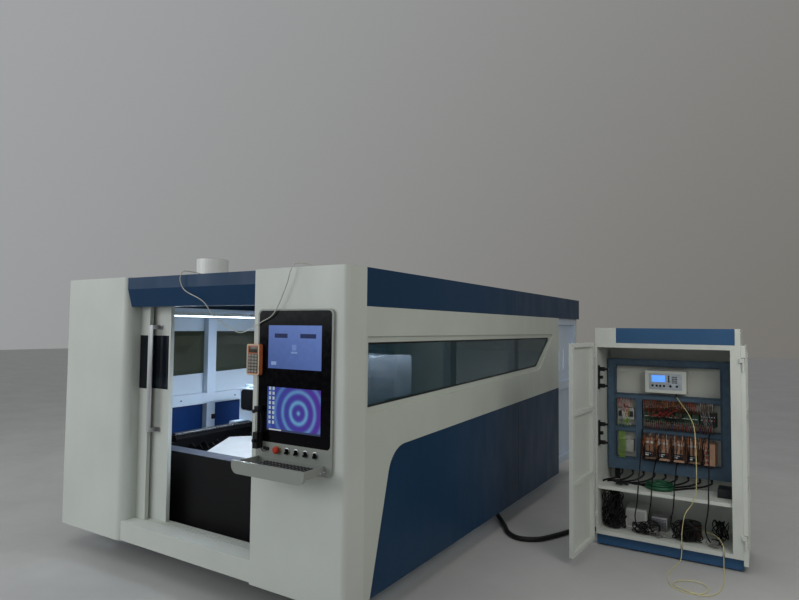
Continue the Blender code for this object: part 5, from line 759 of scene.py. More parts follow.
for place, draw, strength in (("upper", upper_picture, 0.74), ("lower", lower_picture, 0.8)):
    screen = Screen(f"{place}_picture", f"screen_{place}")
    dress(f"screen_{place}", screen.lit(draw(screen), strength))
    print(place, "screen", len(screen.tree.nodes), "nodes")

# %% [markdown]
# Under the screens sit a stop button with a yellow collar and four switches. The white
# line on each switch rides on the switch, so it turns with it; the rings and the collar
# stay on the console. Rings are turned forms, as they would be on a lathe.

# %% Console: buttons and screws
CONSOLE_FACE = -0.0143 - CLEAR
FRONTWARDS = (0, -1, 0)
BUTTON_HEIGHT = 0.985

Form("stop_collar", moulded("collar_yellow", (0.5, 0.36, 0.03), 0.45)).lathe(
    (-0.488, CONSOLE_FACE, BUTTON_HEIGHT), FRONTWARDS,
    ((0.0245, 0.0), (0.0245, 0.003), (0.0225, 0.003), (0.0225, 0.0)), 32, closed=True).done()
for number in range(4):
    x = -0.413 + 0.07 * number
    Form(f"switch_line_{number + 1}", WHITE_PLASTIC, f"switch_{number + 1}").block(
        (x - 0.0012, -0.0372, 0.986), (x + 0.0012, -0.0367, 0.9975)).done()
    Form(f"switch_ring_{number + 1}", BARE_STEEL).lathe(
        (x, CONSOLE_FACE, BUTTON_HEIGHT), FRONTWARDS,
        ((0.0195, 0.0), (0.0195, 0.003), (0.0165, 0.004), (0.0165, 0.0)), 28, closed=True).done()
box("port_cover", BLACK, (-0.6, -0.0205, 0.975), (-0.555, -0.0146, 0.995), 0.002)
screws = Form("console_screws", BARE_STEEL)
for x in (-0.655, -0.095):
    for z in (0.885, 1.01):
        screws.lathe((x, CONSOLE_FACE, z), FRONTWARDS,
                     ((0.004, 0.0), (0.004, 0.001), (0.0028, 0.002)), 12)
screws.done()
print(len(made), "small pieces so far")

# %% [markdown]
# The keyboard lies in its tray and rises a little to the back, so each row of keys is
# lifted by the same slope. The hand pendant hangs at the column's edge with eighteen
# rubber keys. Nothing is printed on either but a plain mark.

# %% Console: keyboard and pendant
KEYS_ACROSS, KEY_ROWS = 15, 5
KEY_STEP, ROW_STEP = (0.0258, 0, 0), (0, 0.0268, 0.0268 * 0.0714)
KEYBOARD_TOP = 0.9138
PENDANT_FACE = -0.0426


def round_outline(left, low, right, high, radius):
    """A rectangle with rounded corners as a list of points, five at each corner."""
    corners = ((right - radius, low + radius), (right - radius, high - radius),
               (left + radius, high - radius), (left + radius, low + radius))
    return [(x + radius * across, y + radius * up) for turn, (x, y) in enumerate(corners)
            for across, up in (on_circle((4 * turn - 4 + step) / 16) for step in range(5))]


key = Form("key", moulded("key_black", (0.016, 0.016, 0.018), 0.5)).block(
    (-0.0112, -0.0108, 0.0), (0.0112, 0.0108, 0.0048), 0.0022)
rows("keyboard_keys", key, (-0.5255, -0.1745, KEYBOARD_TOP + 0.0008), KEYS_ACROSS, KEY_STEP,
     KEY_ROWS, ROW_STEP)
mark = Form("legend", moulded("key_mark", (0.38, 0.38, 0.36), 0.6)).block(
    (-0.0032, -0.003, 0.0), (0.0032, 0.003, 0.0005))
rows("keyboard_marks", mark, (-0.5285, -0.1715, KEYBOARD_TOP + 0.0064), KEYS_ACROSS, KEY_STEP,
     KEY_ROWS, ROW_STEP)
Form("pendant_border", moulded("cream_plastic", (0.62, 0.6, 0.45), 0.45)).band(
    lambda x, z, y: (x, y, z), round_outline(-0.7265, 1.4145, -0.6245, 1.5985, 0.01),
    round_outline(-0.72, 1.421, -0.631, 1.592, 0.007),
    PENDANT_FACE - 0.0015, PENDANT_FACE - CLEAR).done()
box("pendant_plate", moulded("pendant_dark", (0.045, 0.05, 0.03), 0.5),
    (-0.7145, PENDANT_FACE - 0.0011, 1.426), (-0.6365, PENDANT_FACE - CLEAR, 1.542), 0.0004)
box("pendant_display", moulded("display_green", (0.05, 0.04, 0.025), 0.2),
    (-0.712, PENDANT_FACE - 0.0018, 1.548), (-0.639, PENDANT_FACE - CLEAR, 1.585), 0.0008)
key = Form("pendant_key", moulded("pendant_key_grey", (0.3, 0.28, 0.25), 0.5)).block(
    (-0.0095, -0.0022, -0.0068), (0.0095, 0.0, 0.0068), 0.0018)
rows("pendant_keys", key, (-0.701, PENDANT_FACE - 0.0014, 1.436), 3, (0.0255, 0, 0),
     6, (0, 0, 0.019))
print(KEYS_ACROSS * KEY_ROWS, "keys on the keyboard")

# %% [markdown]
# At the column's edge a clamp arm holds a thin rod between two knobs, and a lead runs
# down from it into the console. The tray has two sockets in its right end.

# %% Console: sockets and clamp arm
sockets = Form("tray_sockets", BARE_STEEL)
for y in (-0.072, -0.04):
    sockets.lathe((-0.1147, y, 0.905), (1, 0, 0), (
        (0.0095, 0.0), (0.0095, 0.002), (0.008, 0.006), (0.006, 0.006), (0.006, 0.0003)),
        20, closed=True)
sockets.done()
knobs = Form("clip_knobs", BLACK)
for z in (1.205, 1.032):
    knobs.lathe((-0.625, -0.0649, z), FRONTWARDS, (
        (0.007, 0.0), (0.007, 0.004), (0.0115, 0.006), (0.0115, 0.014), (0.0085, 0.016)), 14)
knobs.done()
Form("clip_rod", BARE_STEEL).rod((-0.6445, -0.04, 1.03), (-0.6445, -0.04, 1.21), 0.0022, 10).done()
Form("clip_wire", CORD_BLACK).wire(
    ((-0.6075, -0.04, 1.195), (-0.598, -0.043, 1.17), (-0.594, -0.045, 1.11),
     (-0.6, -0.046, 1.05), (-0.597, -0.046, 1.005), (-0.585, -0.04, 0.975),
     (-0.572, -0.03, 0.971), (-0.566, -0.0207, 0.978)), 0.0022, 6, 48).done()
print(len(made), "small pieces so far")

# %% [markdown]
# In the cutting room black plugs close the bolt holes of the frames, a latch sits on
# the left wall, and folded bellows keep sparks off the rails beside the table. One fold
# is a small slab, and 247 copies of it in a row make a bellows.

# %% Cutting room
for side, x, way in (("right", -0.0969, -1), ("left", -2.6781, 1)):
    for level, z in (("low", 1.005), ("high", 1.828)):
        dot = Form("dot", BLACK).lathe(
            (0, 0, 0), (way, 0, 0), ((0.0075, 0.0), (0.0075, 0.003), (0.0045, 0.0042)), 10)
        rows(f"rail_dots_{level}_{side}", dot, (x, 0.36, z), 6, (0, 0.655, 0))
box("wall_latch", BLACK, (-2.6781, 1.372, 0.8), (-2.652, 1.404, 0.846), 0.003)

RAIL_TOP = 0.8253
FOLDS, FOLD_PITCH = 247, 0.015
BELLOWS = moulded("bellows_black", (0.01, 0.01, 0.012), 0.55, 0.2)
for side, x, edge in (("left", -2.112, -2.085), ("right", -0.663, -0.69)):
    fold = Form("fold", BELLOWS).slab(((-0.022, 0.0), (0.022, 0.0), (0.022, 0.01), (0.015, 0.015),
                                       (-0.015, 0.015), (-0.022, 0.01)), -0.006, 0.006)
    rows(f"bellows_{side}", fold, (x, 0.52, RAIL_TOP), 1, (0, 0, 0), FOLDS, (0, FOLD_PITCH, 0))
    box(f"guard_edge_{side}", BARE_STEEL,
        (edge - 0.003, 0.51, RAIL_TOP), (edge + 0.003, 4.24, 0.8375), 0.001)
Form("bay_rod", BLACK).rod((-0.101, 3.92, 0.9), (-0.101, 4.55, 0.9), 0.006, 10).done()
print("bellows", round(FOLDS * FOLD_PITCH, 2), "m long")

# %% [markdown]
# A black rubber lip runs round each side window, just in front of the glass. Its outline
# is read from the packed side panel, so it fits the opening wherever that stands. The
# lip is the ring between that outline, moved in a little, and the same moved in more.

# %% Window lips
LIP_GAP, LIP_WIDTH, LIP_DEPTH = 0.0005, 0.011, 0.0035
WINDOW_Y, WINDOW_Z = (0.2, 3.75), (1.22, 1.7)  # the part of the side that holds the window
LEAST_COSINE = 0.3  # keeps a sharp corner from moving too far
RUBBER = moulded("black_rubber", (0.008, 0.008, 0.008), 0.65)


def inset(outline, distance):
    """A convex outline moved inwards by an even distance."""
    middle = sum((Vector(point) for point in outline), Vector((0.0, 0.0))) / len(outline)
    moved = []
    for index, point in enumerate(outline):
        after = outline[(index + 1) % len(outline)]
        ways = []
        for first, second in ((outline[index - 1], point), (point, after)):
            along = (Vector(second) - Vector(first)).normalized()
            across = Vector((-along.y, along.x))
            ways.append(across if across.dot(middle - Vector(point)) > 0 else -across)
        way = (ways[0] + ways[1]).normalized()
        moved.append(tuple(Vector(point) + way * distance / max(LEAST_COSINE, way.dot(ways[0]))))
    return moved


def window_lip(side, face, outwards):
    """A rubber lip round the opening of one side panel, outside the glass."""
    places = set()
    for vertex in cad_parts[f"{side}_side_panel"].data.vertices:
        x, y, z = vertex.co.x - RIGHT_PLANE, vertex.co.y - FRONT_PLANE, vertex.co.z
        if (abs(x - face) < 0.0005 and WINDOW_Y[0] < y < WINDOW_Y[1]
                and WINDOW_Z[0] < z < WINDOW_Z[1]):
            places.add((round(y, 4), round(z, 4)))
    middle_y, middle_z = (sum(values) / len(places) for values in zip(*places))
    outline = sorted(places, key=lambda place: math.atan2(place[1] - middle_z, place[0] - middle_y))
    print(side, "window", len(outline), "corners")
    Form(f"window_lip_{side}", RUBBER).band(
        lambda y, z, x: (x, y, z), inset(outline, LIP_GAP), inset(outline, LIP_WIDTH),
        face + outwards * CLEAR, face + outwards * LIP_DEPTH).done()


window_lip("right", -0.03, 1)
window_lip("left", -2.745, -1)

# %% [markdown]
# The control cabinet stands open, so its inside is seen. Wires run between its units in
# plastic ducts whose walls are cut into fingers. From here only the slots between the
# fingers show, so each duct gets rows of small dark blocks on its face: painted shade
# for the shadow inside the slots.

# %% Cabinet: wiring ducts
DUCT_FACE = 2.6047
SLOT_PITCH = 0.0084
# The slot colour is painted shade: the dark inside of a slot between the fingers.
SLOT_SHADE = moulded("duct_slot_shade", (0.012, 0.018, 0.02), 0.6)


def slots(name, x, z, half_width, half_height, across, up):
    """Dark blocks on a duct's face, in a row across or up: painted shade in the slots."""
    slot = Form("slot", SLOT_SHADE).block(
        (-half_width, -0.0008, -half_height), (half_width, 0.0, half_height))
    rows(name, slot, (x, DUCT_FACE - CLEAR, z), across, (SLOT_PITCH, 0, 0), up,
         (0, 0, SLOT_PITCH))


LONG_ROWS = [(z, 0.866, 92) for z in (1.4155, 1.1735)]
SPLIT_ROWS = [(z, x, count) for z in (1.1385, 0.9075, 0.87, 0.647)
              for x, count in ((0.866, 19), (1.074, 67))]
for number, (z, x, count) in enumerate(LONG_ROWS + SPLIT_ROWS):
    slots(f"duct_slots_{number + 1}", x, z, 0.0016, 0.0065, count, 1)
for side, x in (("left", 0.8545), ("right", 1.6445)):
    slots(f"duct_slots_{side}", x, 0.66, 0.0065, 0.0016, 1, 88)
print(sum(count for _, _, count in LONG_ROWS + SPLIT_ROWS) + 2 * 88, "slots")

# %% [markdown]
# The controller has a blue-grey front plate with a lit display and rows of keys. Its
# parts are placed by shares of its front, as on a drawing, so all of them follow when
# the unit's size changes.

# %% Cabinet: controller
UNIT_LEFT, UNIT_LOW, UNIT_WIDTH, UNIT_HEIGHT, UNIT_FACE = 1.1, 1.204, 0.305, 0.178, 2.5647
KEY_DEPTH, KEY_LIFT = 0.0014, 0.0036
DARK_UNIT = moulded("dark_unit", (0.02, 0.022, 0.026), 0.5, 0.25)
PALE_UNIT = moulded("pale_unit", (0.34, 0.35, 0.33), 0.5)


def glow(name, colour, strength):
    """A lit surface, such as a lamp's diffuser."""
    finish = Finish(name)
    light = finish.ramp(finish.noise(40.0, 3.0), 0.2, 0.8, shade(colour, 0.96), colour)
    return finish.done(colour, 0.5, Emission_Color=light, Emission_Strength=strength)


def tile(form, left, right, low, high, depth, edge, lift):
    """A tile on the controller's front, between shares of its width and height."""
    return form.block(
        (UNIT_LEFT + left * UNIT_WIDTH, UNIT_FACE - lift - depth, UNIT_LOW + low * UNIT_HEIGHT),
        (UNIT_LEFT + right * UNIT_WIDTH, UNIT_FACE - lift, UNIT_LOW + high * UNIT_HEIGHT), edge)


tile(Form("unit_panel", moulded("unit_blue_grey", (0.4, 0.45, 0.5), 0.45)),
     0.1, 0.9, 0.16, 0.88, 0.003, 0.001, CLEAR).done()
tile(Form("unit_display", glow("unit_display_blue", (0.1, 0.3, 0.85), 0.9)),
     0.17, 0.5, 0.5, 0.8, 0.0012, 0.0005, KEY_LIFT).done()
keys = Form("unit_keys", DARK_UNIT)
for across in (0.19, 0.29, 0.38, 0.47, 0.78):
    tile(keys, across - 0.026, across + 0.026, 0.28, 0.375, KEY_DEPTH, 0.0005, KEY_LIFT)
spans = [(0.585, 0.665, 0.305, 0.35), (0.612, 0.638, 0.255, 0.4)]
spans += [(0.565, 0.605, low, low + 0.06) for low in (0.5, 0.58, 0.66, 0.74)]
spans += [(0.66 + column * 0.034, 0.684 + column * 0.034, 0.46 + row * 0.084, 0.51 + row * 0.084)
          for column in range(4) for row in range(4)]
for span in spans:
    tile(keys, *span, KEY_DEPTH, 0.0004, KEY_LIFT)
keys.done()
print(len(spans) + 5, "keys on the controller")

# %% [markdown]
# Under it runs the terminal row: a green band with a screw head for each pole, and six
# breakers at its right end, each with a white mark and a lever.

# %% Cabinet: terminals and breakers
POLES, BREAKERS = 36, 6
box("terminal_band", moulded("band_green", (0.012, 0.055, 0.03), 0.5),
    (1.09, 2.5812, 1.002), (1.48, 2.5844, 1.024), 0.001)
head = Form("head", WHITE_PLASTIC).lathe(
    (0, 0, 0), FRONTWARDS, ((0.0032, 0.0), (0.0032, 0.0008), (0.002, 0.0012)), 8)
rows("terminal_heads", head, (1.0965, 2.5809, 1.013), POLES, (0.0108, 0, 0))
breakers = Form("breakers", DARK_UNIT)
marks = Form("breaker_marks", WHITE_PLASTIC)
levers = Form("breaker_levers", RED)
for number in range(BREAKERS):
    x = 1.502 + number * 0.0175
    breakers.block((x, 2.574, 0.975), (x + 0.0155, 2.5844, 1.055), 0.0015)
    marks.block((x + 0.005, 2.5725, 1.036), (x + 0.011, 2.5737, 1.042))
    (levers if number % 2 else marks).block(
        (x + 0.005, 2.5705, 1.008), (x + 0.011, 2.5737, 1.018), 0.0005)
for form in (breakers, marks, levers):
    form.done()
print(POLES, "poles and", BREAKERS, "breakers")

# %% [markdown]
# From each pole a wire bends forward and into the duct above or below it. No two wires
# of a fitter bend alike, so a sine of the wire's number moves each a little. Unlike a
# random draw, that gives the same cabinet each time the lesson runs.

# %% Cabinet: wires at the terminals
WIRE_RED = moulded("wire_red", (0.33, 0.03, 0.018), 0.45)
WIRE_BROWN = moulded("wire_brown", (0.075, 0.03, 0.014), 0.5)
WIRE_BLUE = moulded("wire_blue", (0.03, 0.085, 0.3), 0.45)
WIRE_GREY = moulded("wire_grey", (0.2, 0.2, 0.19), 0.5)
WIRE_GREEN = moulded("wire_green", (0.16, 0.3, 0.03), 0.45)
WIRE_WHITE = moulded("wire_white", (0.5, 0.5, 0.46), 0.5)
WIRE_BLACK = moulded("wire_black", (0.008, 0.008, 0.009), 0.5, 0.2)
WIRE_ORANGE = moulded("wire_orange", (0.42, 0.12, 0.03), 0.45)
POLE_FACE, DUCT_MOUTH = 2.598, 2.6035
UPPER_DUCT, MIDDLE_DUCT, LOWER_DUCT = 1.139, 0.906, 0.648


def wobble(number, size):
    """A small offset that is always the same for one number."""
    return size * math.sin(number * 12.9898 + 4.1)


def arches(name, material, first, last, step, start_z, end_z, phase, radius=0.0022, reach=0.026):
    """Wires from a row of poles, each bending forward and into a duct."""
    form = Form(name, material)
    rise = end_z - start_z
    for number in range(int((last - first) / step)):
        x = first + (number + phase) * step
        shift = wobble(number + phase * 7, 0.006)
        front = POLE_FACE - reach
        form.wire(((x, POLE_FACE, start_z),
                   (x + shift * 0.3, POLE_FACE - reach * 0.7, start_z + rise * 0.15),
                   (x + shift, front - abs(wobble(number, 0.008)), start_z + rise / 2),
                   (x + shift * 1.6, POLE_FACE - reach * 0.6, start_z + rise * 0.85),
                   (x + shift * 1.8, DUCT_MOUTH, end_z)), radius, 5, 12)
    form.done()


arches("wires_up_red", WIRE_RED, 1.094, 1.48, 0.015, 1.05, UPPER_DUCT, 0.0)
arches("wires_up_brown", WIRE_BROWN, 1.094, 1.6, 0.011, 1.045, UPPER_DUCT, 0.5, 0.0024, 0.034)
arches("wires_up_white", WIRE_WHITE, 1.48, 1.605, 0.013, 1.06, UPPER_DUCT, 0.3, 0.002)
arches("wires_up_green", WIRE_GREEN, 1.094, 1.4, 0.044, 1.055, UPPER_DUCT, 0.8, 0.002)
arches("wires_down_grey", WIRE_GREY, 1.094, 1.6, 0.0155, 0.985, MIDDLE_DUCT, 0.1)
arches("wires_down_brown", WIRE_BROWN, 1.094, 1.6, 0.014, 0.98, MIDDLE_DUCT, 0.55, 0.0024, 0.034)
arches("wires_down_red", WIRE_RED, 1.1, 1.6, 0.033, 0.975, MIDDLE_DUCT, 0.3)
arches("wires_down_blue", WIRE_BLUE, 1.1, 1.6, 0.052, 0.959, MIDDLE_DUCT, 0.8)
print(len(made), "small pieces so far")

# %% [markdown]
# Four motor drives and a narrow unit stand in the next row. Each drive has a dark plate
# with pale marks and a red lamp. Its wires leave at the top, hang before it and end at
# its foot, and short tails go down from there into the lowest duct.

# %% Cabinet: drives
plates = Form("drive_faces", DARK_UNIT)
tags = Form("drive_tags", WHITE_PLASTIC)
lamps = Form("drive_lamps", RED)
for number in range(4):
    x = 1.082 + number * 0.106
    plates.block((x + 0.012, 2.5445, 0.69), (x + 0.086, 2.5474, 0.735), 0.001)
    tags.block((x + 0.02, 2.5432, 0.702), (x + 0.045, 2.5442, 0.712))
    tags.block((x + 0.02, 2.5432, 0.718), (x + 0.06, 2.5442, 0.723))
    tags.block((x + 0.018, 2.5462, 0.8), (x + 0.08, 2.5474, 0.815))
    lamps.block((x + 0.07, 2.5432, 0.718), (x + 0.076, 2.5442, 0.724))
for row in range(7):
    z = 0.69 + row * 0.019
    (tags if row % 2 else lamps).block((1.536, 2.5455, z), (1.558, 2.5474, z + 0.009), 0.0005)
for form in (plates, tags, lamps):
    form.done()


def droops(name, material, phase, step, radius, low):
    """Wires that leave the top of the drives, hang before them and end at their feet."""
    form = Form(name, material)
    for number in range(int(0.52 / step)):
        x = 1.086 + (number + phase) * step
        shift = wobble(number + 5 * phase, 0.012)
        form.wire(((x, 2.6, 0.872), (x + shift * 0.4, 2.555, 0.862),
                   (x + shift, 2.532, 0.8 + wobble(number, 0.02)),
                   (x + shift * 1.4, 2.53, low + 0.05),
                   (x + shift * 0.8, 2.535, low + wobble(number + 2, 0.012)),
                   (x + shift * 0.5, 2.5435, low - 0.004)), radius, 5, 16)
    form.done()


droops("drive_wires_dark", WIRE_BROWN, 0.2, 0.0262, 0.0026, 0.745)
droops("drive_wires_black", WIRE_BLACK, 0.6, 0.035, 0.0026, 0.7)
droops("drive_wires_orange", WIRE_ORANGE, 0.4, 0.044, 0.0022, 0.765)
droops("drive_wires_white", WIRE_WHITE, 0.9, 0.058, 0.0018, 0.78)
arches("drive_tails_brown", WIRE_BROWN, 1.09, 1.6, 0.0265, 0.671, LOWER_DUCT, 0.1, 0.0024, 0.032)
arches("drive_tails_black", WIRE_BLACK, 1.09, 1.6, 0.053, 0.671, LOWER_DUCT, 0.6, 0.003, 0.03)
print(len(made), "small pieces so far")

# %% [markdown]
# Two small bays stand at the left: contacts with red and white wires above, and a block
# with a bundle of green earth wires below. All seven wires of the bundle share one
# route, and only the wobble parts them.

# %% Cabinet: left bays
box("left_block_upper", PALE_UNIT, (0.88, 2.61, 0.965), (1.005, 2.6597, 1.06), 0.003)
box("left_block_face", DARK_UNIT, (0.886, 2.604, 0.99), (0.999, 2.6097, 1.035), 0.002)
box("left_block_lower", PALE_UNIT, (0.885, 2.612, 0.7), (1.000, 2.6597, 0.8), 0.003)
arches("left_wires_red", WIRE_RED, 0.885, 1.005, 0.012, 1.061, UPPER_DUCT, 0.2, 0.0018)
arches("left_wires_white", WIRE_WHITE, 0.885, 1.005, 0.024, 1.061, UPPER_DUCT, 0.6, 0.0018)
arches("left_wires_green", WIRE_GREEN, 0.885, 1.005, 0.02, 0.964, MIDDLE_DUCT, 0.3, 0.002)
bundle = Form("earth_bundle", WIRE_GREEN)
for number in range(7):
    x = 0.892 + number * 0.007
    bundle.wire(((x, 2.606, 0.868), (x + wobble(number, 0.006), 2.594, 0.835),
                 (x + 0.01, 2.588, 0.79), (x + wobble(number + 3, 0.008), 2.59, 0.73),
                 (x - 0.004, 2.598, 0.68), (x, DUCT_MOUTH, 0.652)), 0.0026, 6, 18)
bundle.done()
print(len(made), "small pieces so far")

# %% [markdown]
# Loose wires cross before the units, and in the lower room spare cable lies in tangles.
# A tangle is easy when each wire wanders through points of its own on a few sines
# inside a given room, and a floor height keeps it from sinking in.

# %% Cabinet: loose wires and tangles
TANGLE_KNOTS = 9


def snarl(name, material, count, middle, size, radius, seed, low=0.1345):
    """A loose tangle of wires round a middle, not lower than a given height."""
    form = Form(name, material)
    for number in range(count):
        turn = seed + number * 1.7
        route = []
        for knot in range(TANGLE_KNOTS):
            angle = turn + knot * 1.35
            route.append((
                middle[0] + size[0] * math.cos(angle) * (0.55 + 0.45 * math.sin(turn * 3 + knot)),
                middle[1] + size[1] * math.sin(angle) * (0.55 + 0.45 * math.cos(turn * 2 + knot)),
                max(low, middle[2] + size[2] * math.sin(turn * 5 + knot * 1.9)),
            ))
        form.wire(route, radius, 6, 60)
    form.done()


for name, material, count, middle, size, radius, seed, low in (
    ("terminal_loose_dark", WIRE_BLACK, 5, (1.28, 2.568, 1.04), (0.17, 0.007, 0.06), 0.002, 1.3, 0.92),
    ("terminal_loose_red", WIRE_RED, 4, (1.24, 2.57, 1.06), (0.14, 0.006, 0.05), 0.0018, 2.6, 0.92),
    ("terminal_loose_pale", WIRE_GREY, 2, (1.54, 2.562, 1.03), (0.05, 0.006, 0.075), 0.0015, 3.9, 0.92),
    ("left_loose_red", WIRE_RED, 4, (0.945, 2.594, 1.04), (0.03, 0.006, 0.055), 0.002, 0.7, 0.92),
    ("left_loose_green", WIRE_GREEN, 3, (0.95, 2.594, 1.000), (0.026, 0.006, 0.065), 0.002, 5.7, 0.92),
    ("left_loose_white", WIRE_WHITE, 3, (0.94, 2.592, 1.02), (0.028, 0.005, 0.06), 0.0019, 8.7, 0.92),
    ("tangle_left", WIRE_BLACK, 9, (0.885, 2.42, 0.205), (0.095, 0.09, 0.08), 0.0044, 1.0, 0.1345),
    ("tangle_left_high", WIRE_BLACK, 6, (0.88, 2.39, 0.335), (0.085, 0.08, 0.09), 0.004, 4.0, 0.1345),
    ("tangle_middle", WIRE_BLACK, 5, (1.105, 2.385, 0.165), (0.095, 0.06, 0.04), 0.004, 2.0, 0.1345),
    ("tangle_right", WIRE_BLACK, 5, (1.42, 2.375, 0.185), (0.11, 0.035, 0.062), 0.0042, 3.0, 0.1345),
    ("tangle_end", WIRE_BLACK, 4, (1.63, 2.56, 0.2), (0.06, 0.05, 0.07), 0.004, 5.0, 0.1345),
    ("thin_middle", WIRE_GREY, 4, (1.23, 2.36, 0.15), (0.08, 0.045, 0.022), 0.0019, 6.0, 0.1285),
    ("thin_end", WIRE_GREY, 5, (1.6, 2.35, 0.15), (0.06, 0.04, 0.024), 0.0017, 7.0, 0.1285),
    ("shelf_thin", WIRE_BLACK, 3, (0.94, 2.4, 0.49), (0.07, 0.07, 0.012), 0.0034, 8.0, 0.4745),
):
    snarl(name, material, count, middle, size, radius, seed, low)
for number in range(5):
    x = 1.079 + 0.106 * number
    snarl(f"drive_loose_{number + 1}", WIRE_BROWN, 4, (x, 2.538, 0.76), (0.015, 0.008, 0.075),
          0.0025, 1.1 + number, 0.66)
    snarl(f"drive_dark_{number + 1}", WIRE_BLACK, 2, (x + 0.012, 2.54, 0.735),
          (0.014, 0.008, 0.07), 0.0026, 7.1 + number, 0.66)
print(len(made), "small pieces so far")

# %% [markdown]
# Thick black cables leave through glands under the lowest duct and sweep down onto the
# shelf. Others drop past the shelf's front edge into the lower room, where some end in
# coiled loops. Their routes stay behind the plane in which the doors close.

# %% Cabinet: cables over the shelf
glands = Form("glands", BLACK)
sweeps = Form("sweeping_cables", WIRE_BLACK)
SHELF_LIE = 0.4785  # height of a cable's middle line on the shelf
for number in range(9):
    x = 0.905 + number * 0.083
    glands.lathe((x, 2.632, 0.5557), (0, 0, -1),
                 ((0.012, 0.0), (0.012, 0.008), (0.009, 0.01), (0.009, 0.02)), 12)
    lean = -0.055 - 0.012 * number
    sweeps.wire(((x, 2.632, 0.538), (x, 2.628, 0.52), (x + lean * 0.4, 2.6, 0.494),
                 (x + lean, 2.56, SHELF_LIE),
                 (max(0.81, x + lean * 1.8), 2.5 - 0.008 * number, SHELF_LIE),
                 (max(0.796, x + lean * 2.4), 2.44 + 0.012 * number, SHELF_LIE)), 0.0072, 8, 26)
uprights = Form("upright_cables", WIRE_BLACK)
for number, (x, top) in enumerate(((1.075, 0.9), (1.172, 0.655), (1.56, 0.9), (1.33, 0.655))):
    uprights.wire(((x, DUCT_MOUTH, top), (x, 2.56 - 0.015 * number, top - 0.03),
                   (x + 0.004, 2.48, (top + 0.56) / 2), (x + 0.01, 2.33, 0.52),
                   (x + 0.012, 2.297, 0.46), (x + 0.006, 2.296, 0.38),
                   (x - 0.012, 2.305, 0.26), (x + 0.01, 2.34, 0.17),
                   (x + 0.045, 2.4, 0.1345)), 0.0048, 7, 44)
for number in range(5):
    x = 0.85 + number * 0.0085
    uprights.wire(((x, 2.64, 0.56), (x, 2.632 - 0.002 * number, 0.5), (x + 0.004, 2.628, 0.45),
                   (x - 0.006, 2.63, 0.35), (x + 0.006, 2.62, 0.23), (x + 0.02, 2.6, 0.15)),
                  0.0048, 6, 24)
coils = Form("coil_turns", moulded("coil_green", (0.012, 0.085, 0.045), 0.45))
for turn in range(4):
    size = 0.082 + 0.006 * turn
    coils.wire([(1.22 + size * on_circle(knot / 16)[0], 2.455 + size * on_circle(knot / 16)[1],
                 0.5125 + 0.003 * math.sin(6 * math.pi * knot / 16 + turn)) for knot in range(17)],
               0.0028, 6, 64)
loops = Form("upright_loops", WIRE_BLACK)
for number, (x, z, size) in enumerate((
    (1.405, 0.208, 0.07), (1.412, 0.205, 0.064), (1.398, 0.212, 0.074), (1.185, 0.186, 0.048),
    (1.175, 0.19, 0.052),
)):
    angles = [2 * math.pi * knot / 16 + number for knot in range(18)]
    loops.wire([(x + size * math.cos(angle), 2.345 + 0.006 * number + 0.01 * math.sin(angle / 2),
                 z + size * math.sin(angle)) for angle in angles], 0.0044, 6, 64)
for form in (glands, sweeps, uprights, coils, loops):
    form.done()
print(len(made), "small pieces so far")

# %% [markdown]
# The lower room holds plain units: a power supply with a blank plate, a vented steel
# box, a transformer whose windings show as rings, and an adapter. Boxes with slightly
# rounded edges are enough, because the cables hide most of them.

# %% Cabinet: shelf and lower room
box("shelf_box", DARK_UNIT, (1.62, 2.43, 0.4703), (1.715, 2.58, 0.532), 0.003)
box("adapter", BLACK, (1.575, 2.4, 0.1253), (1.655, 2.455, 0.158), 0.004)
box("power_face", moulded("power_label_grey", (0.42, 0.43, 0.42), 0.5),
    (0.975, 2.4672, 0.145), (1.105, 2.4697, 0.262), 0.001)
box("mesh_box", BARE_STEEL, (1.15, 2.5, 0.1253), (1.265, 2.66, 0.235), 0.002)
# The vents are rows of dark squares on the box's face: painted shade in place of the holes.
vent = Form("vent", DARK_UNIT).block((-0.0035, -0.0006, -0.0035), (0.0035, 0.0, 0.0035))
rows("mesh_box_vents", vent, (1.164, 2.4994, 0.138), 9, (0.011, 0, 0), 8, (0, 0, 0.0115))
box("transformer_foot", BARE_STEEL, (1.36, 2.585, 0.1253), (1.5, 2.6, 0.2), 0.002)
windings = Form("windings", moulded("winding_brown", (0.1, 0.035, 0.015), 0.4))
for level in range(6):
    windings.lathe((1.43, 2.5, 0.142 + level * 0.015), (0, 0, 1),
                   ((0.0763, 0.0), (0.0785, 0.003), (0.0763, 0.006)), 28, closed=True)
windings.done()
print(len(made), "small pieces so far")

# %% [markdown]
# Two black hinge blocks sit on the cabinet's left inner wall, each with two arms and
# bolts. Both blocks are alike, so one loop makes them as blocks and rods in one mesh.

# %% Cabinet: hinge blocks
blocks = Form("hinge_blocks", BLACK)
bolts = Form("hinge_bolts", BARE_STEEL)
for low, high in ((1.23, 1.42), (0.78, 0.98)):
    middle = (low + high) / 2
    blocks.block((0.7775, 2.3, low), (0.796, 2.352, high), 0.003)
    for z in (low + 0.028, high - 0.028):
        blocks.block((0.7965, 2.306, z - 0.016), (0.842, 2.33, z + 0.016), 0.004)
        blocks.rod((0.8425, 2.318, z), (0.866, 2.318, z), 0.009, 12)
        bolts.lathe((0.8663, 2.318, z), (1, 0, 0), ((0.006, 0.0), (0.006, 0.003), (0.004, 0.004)), 6)
    blocks.block((0.7965, 2.31, middle - 0.012), (0.822, 2.345, middle + 0.012), 0.003)
blocks.done()
bolts.done()
print(len(made), "small pieces so far")

# %% [markdown]
# A studio with the light of a workshop. A pale plain floor keeps the eye on the machine.
# The sky is brighter at the front left than at the right, which shapes the large white
# panels. It is a ramp on the direction, so it needs no picture.

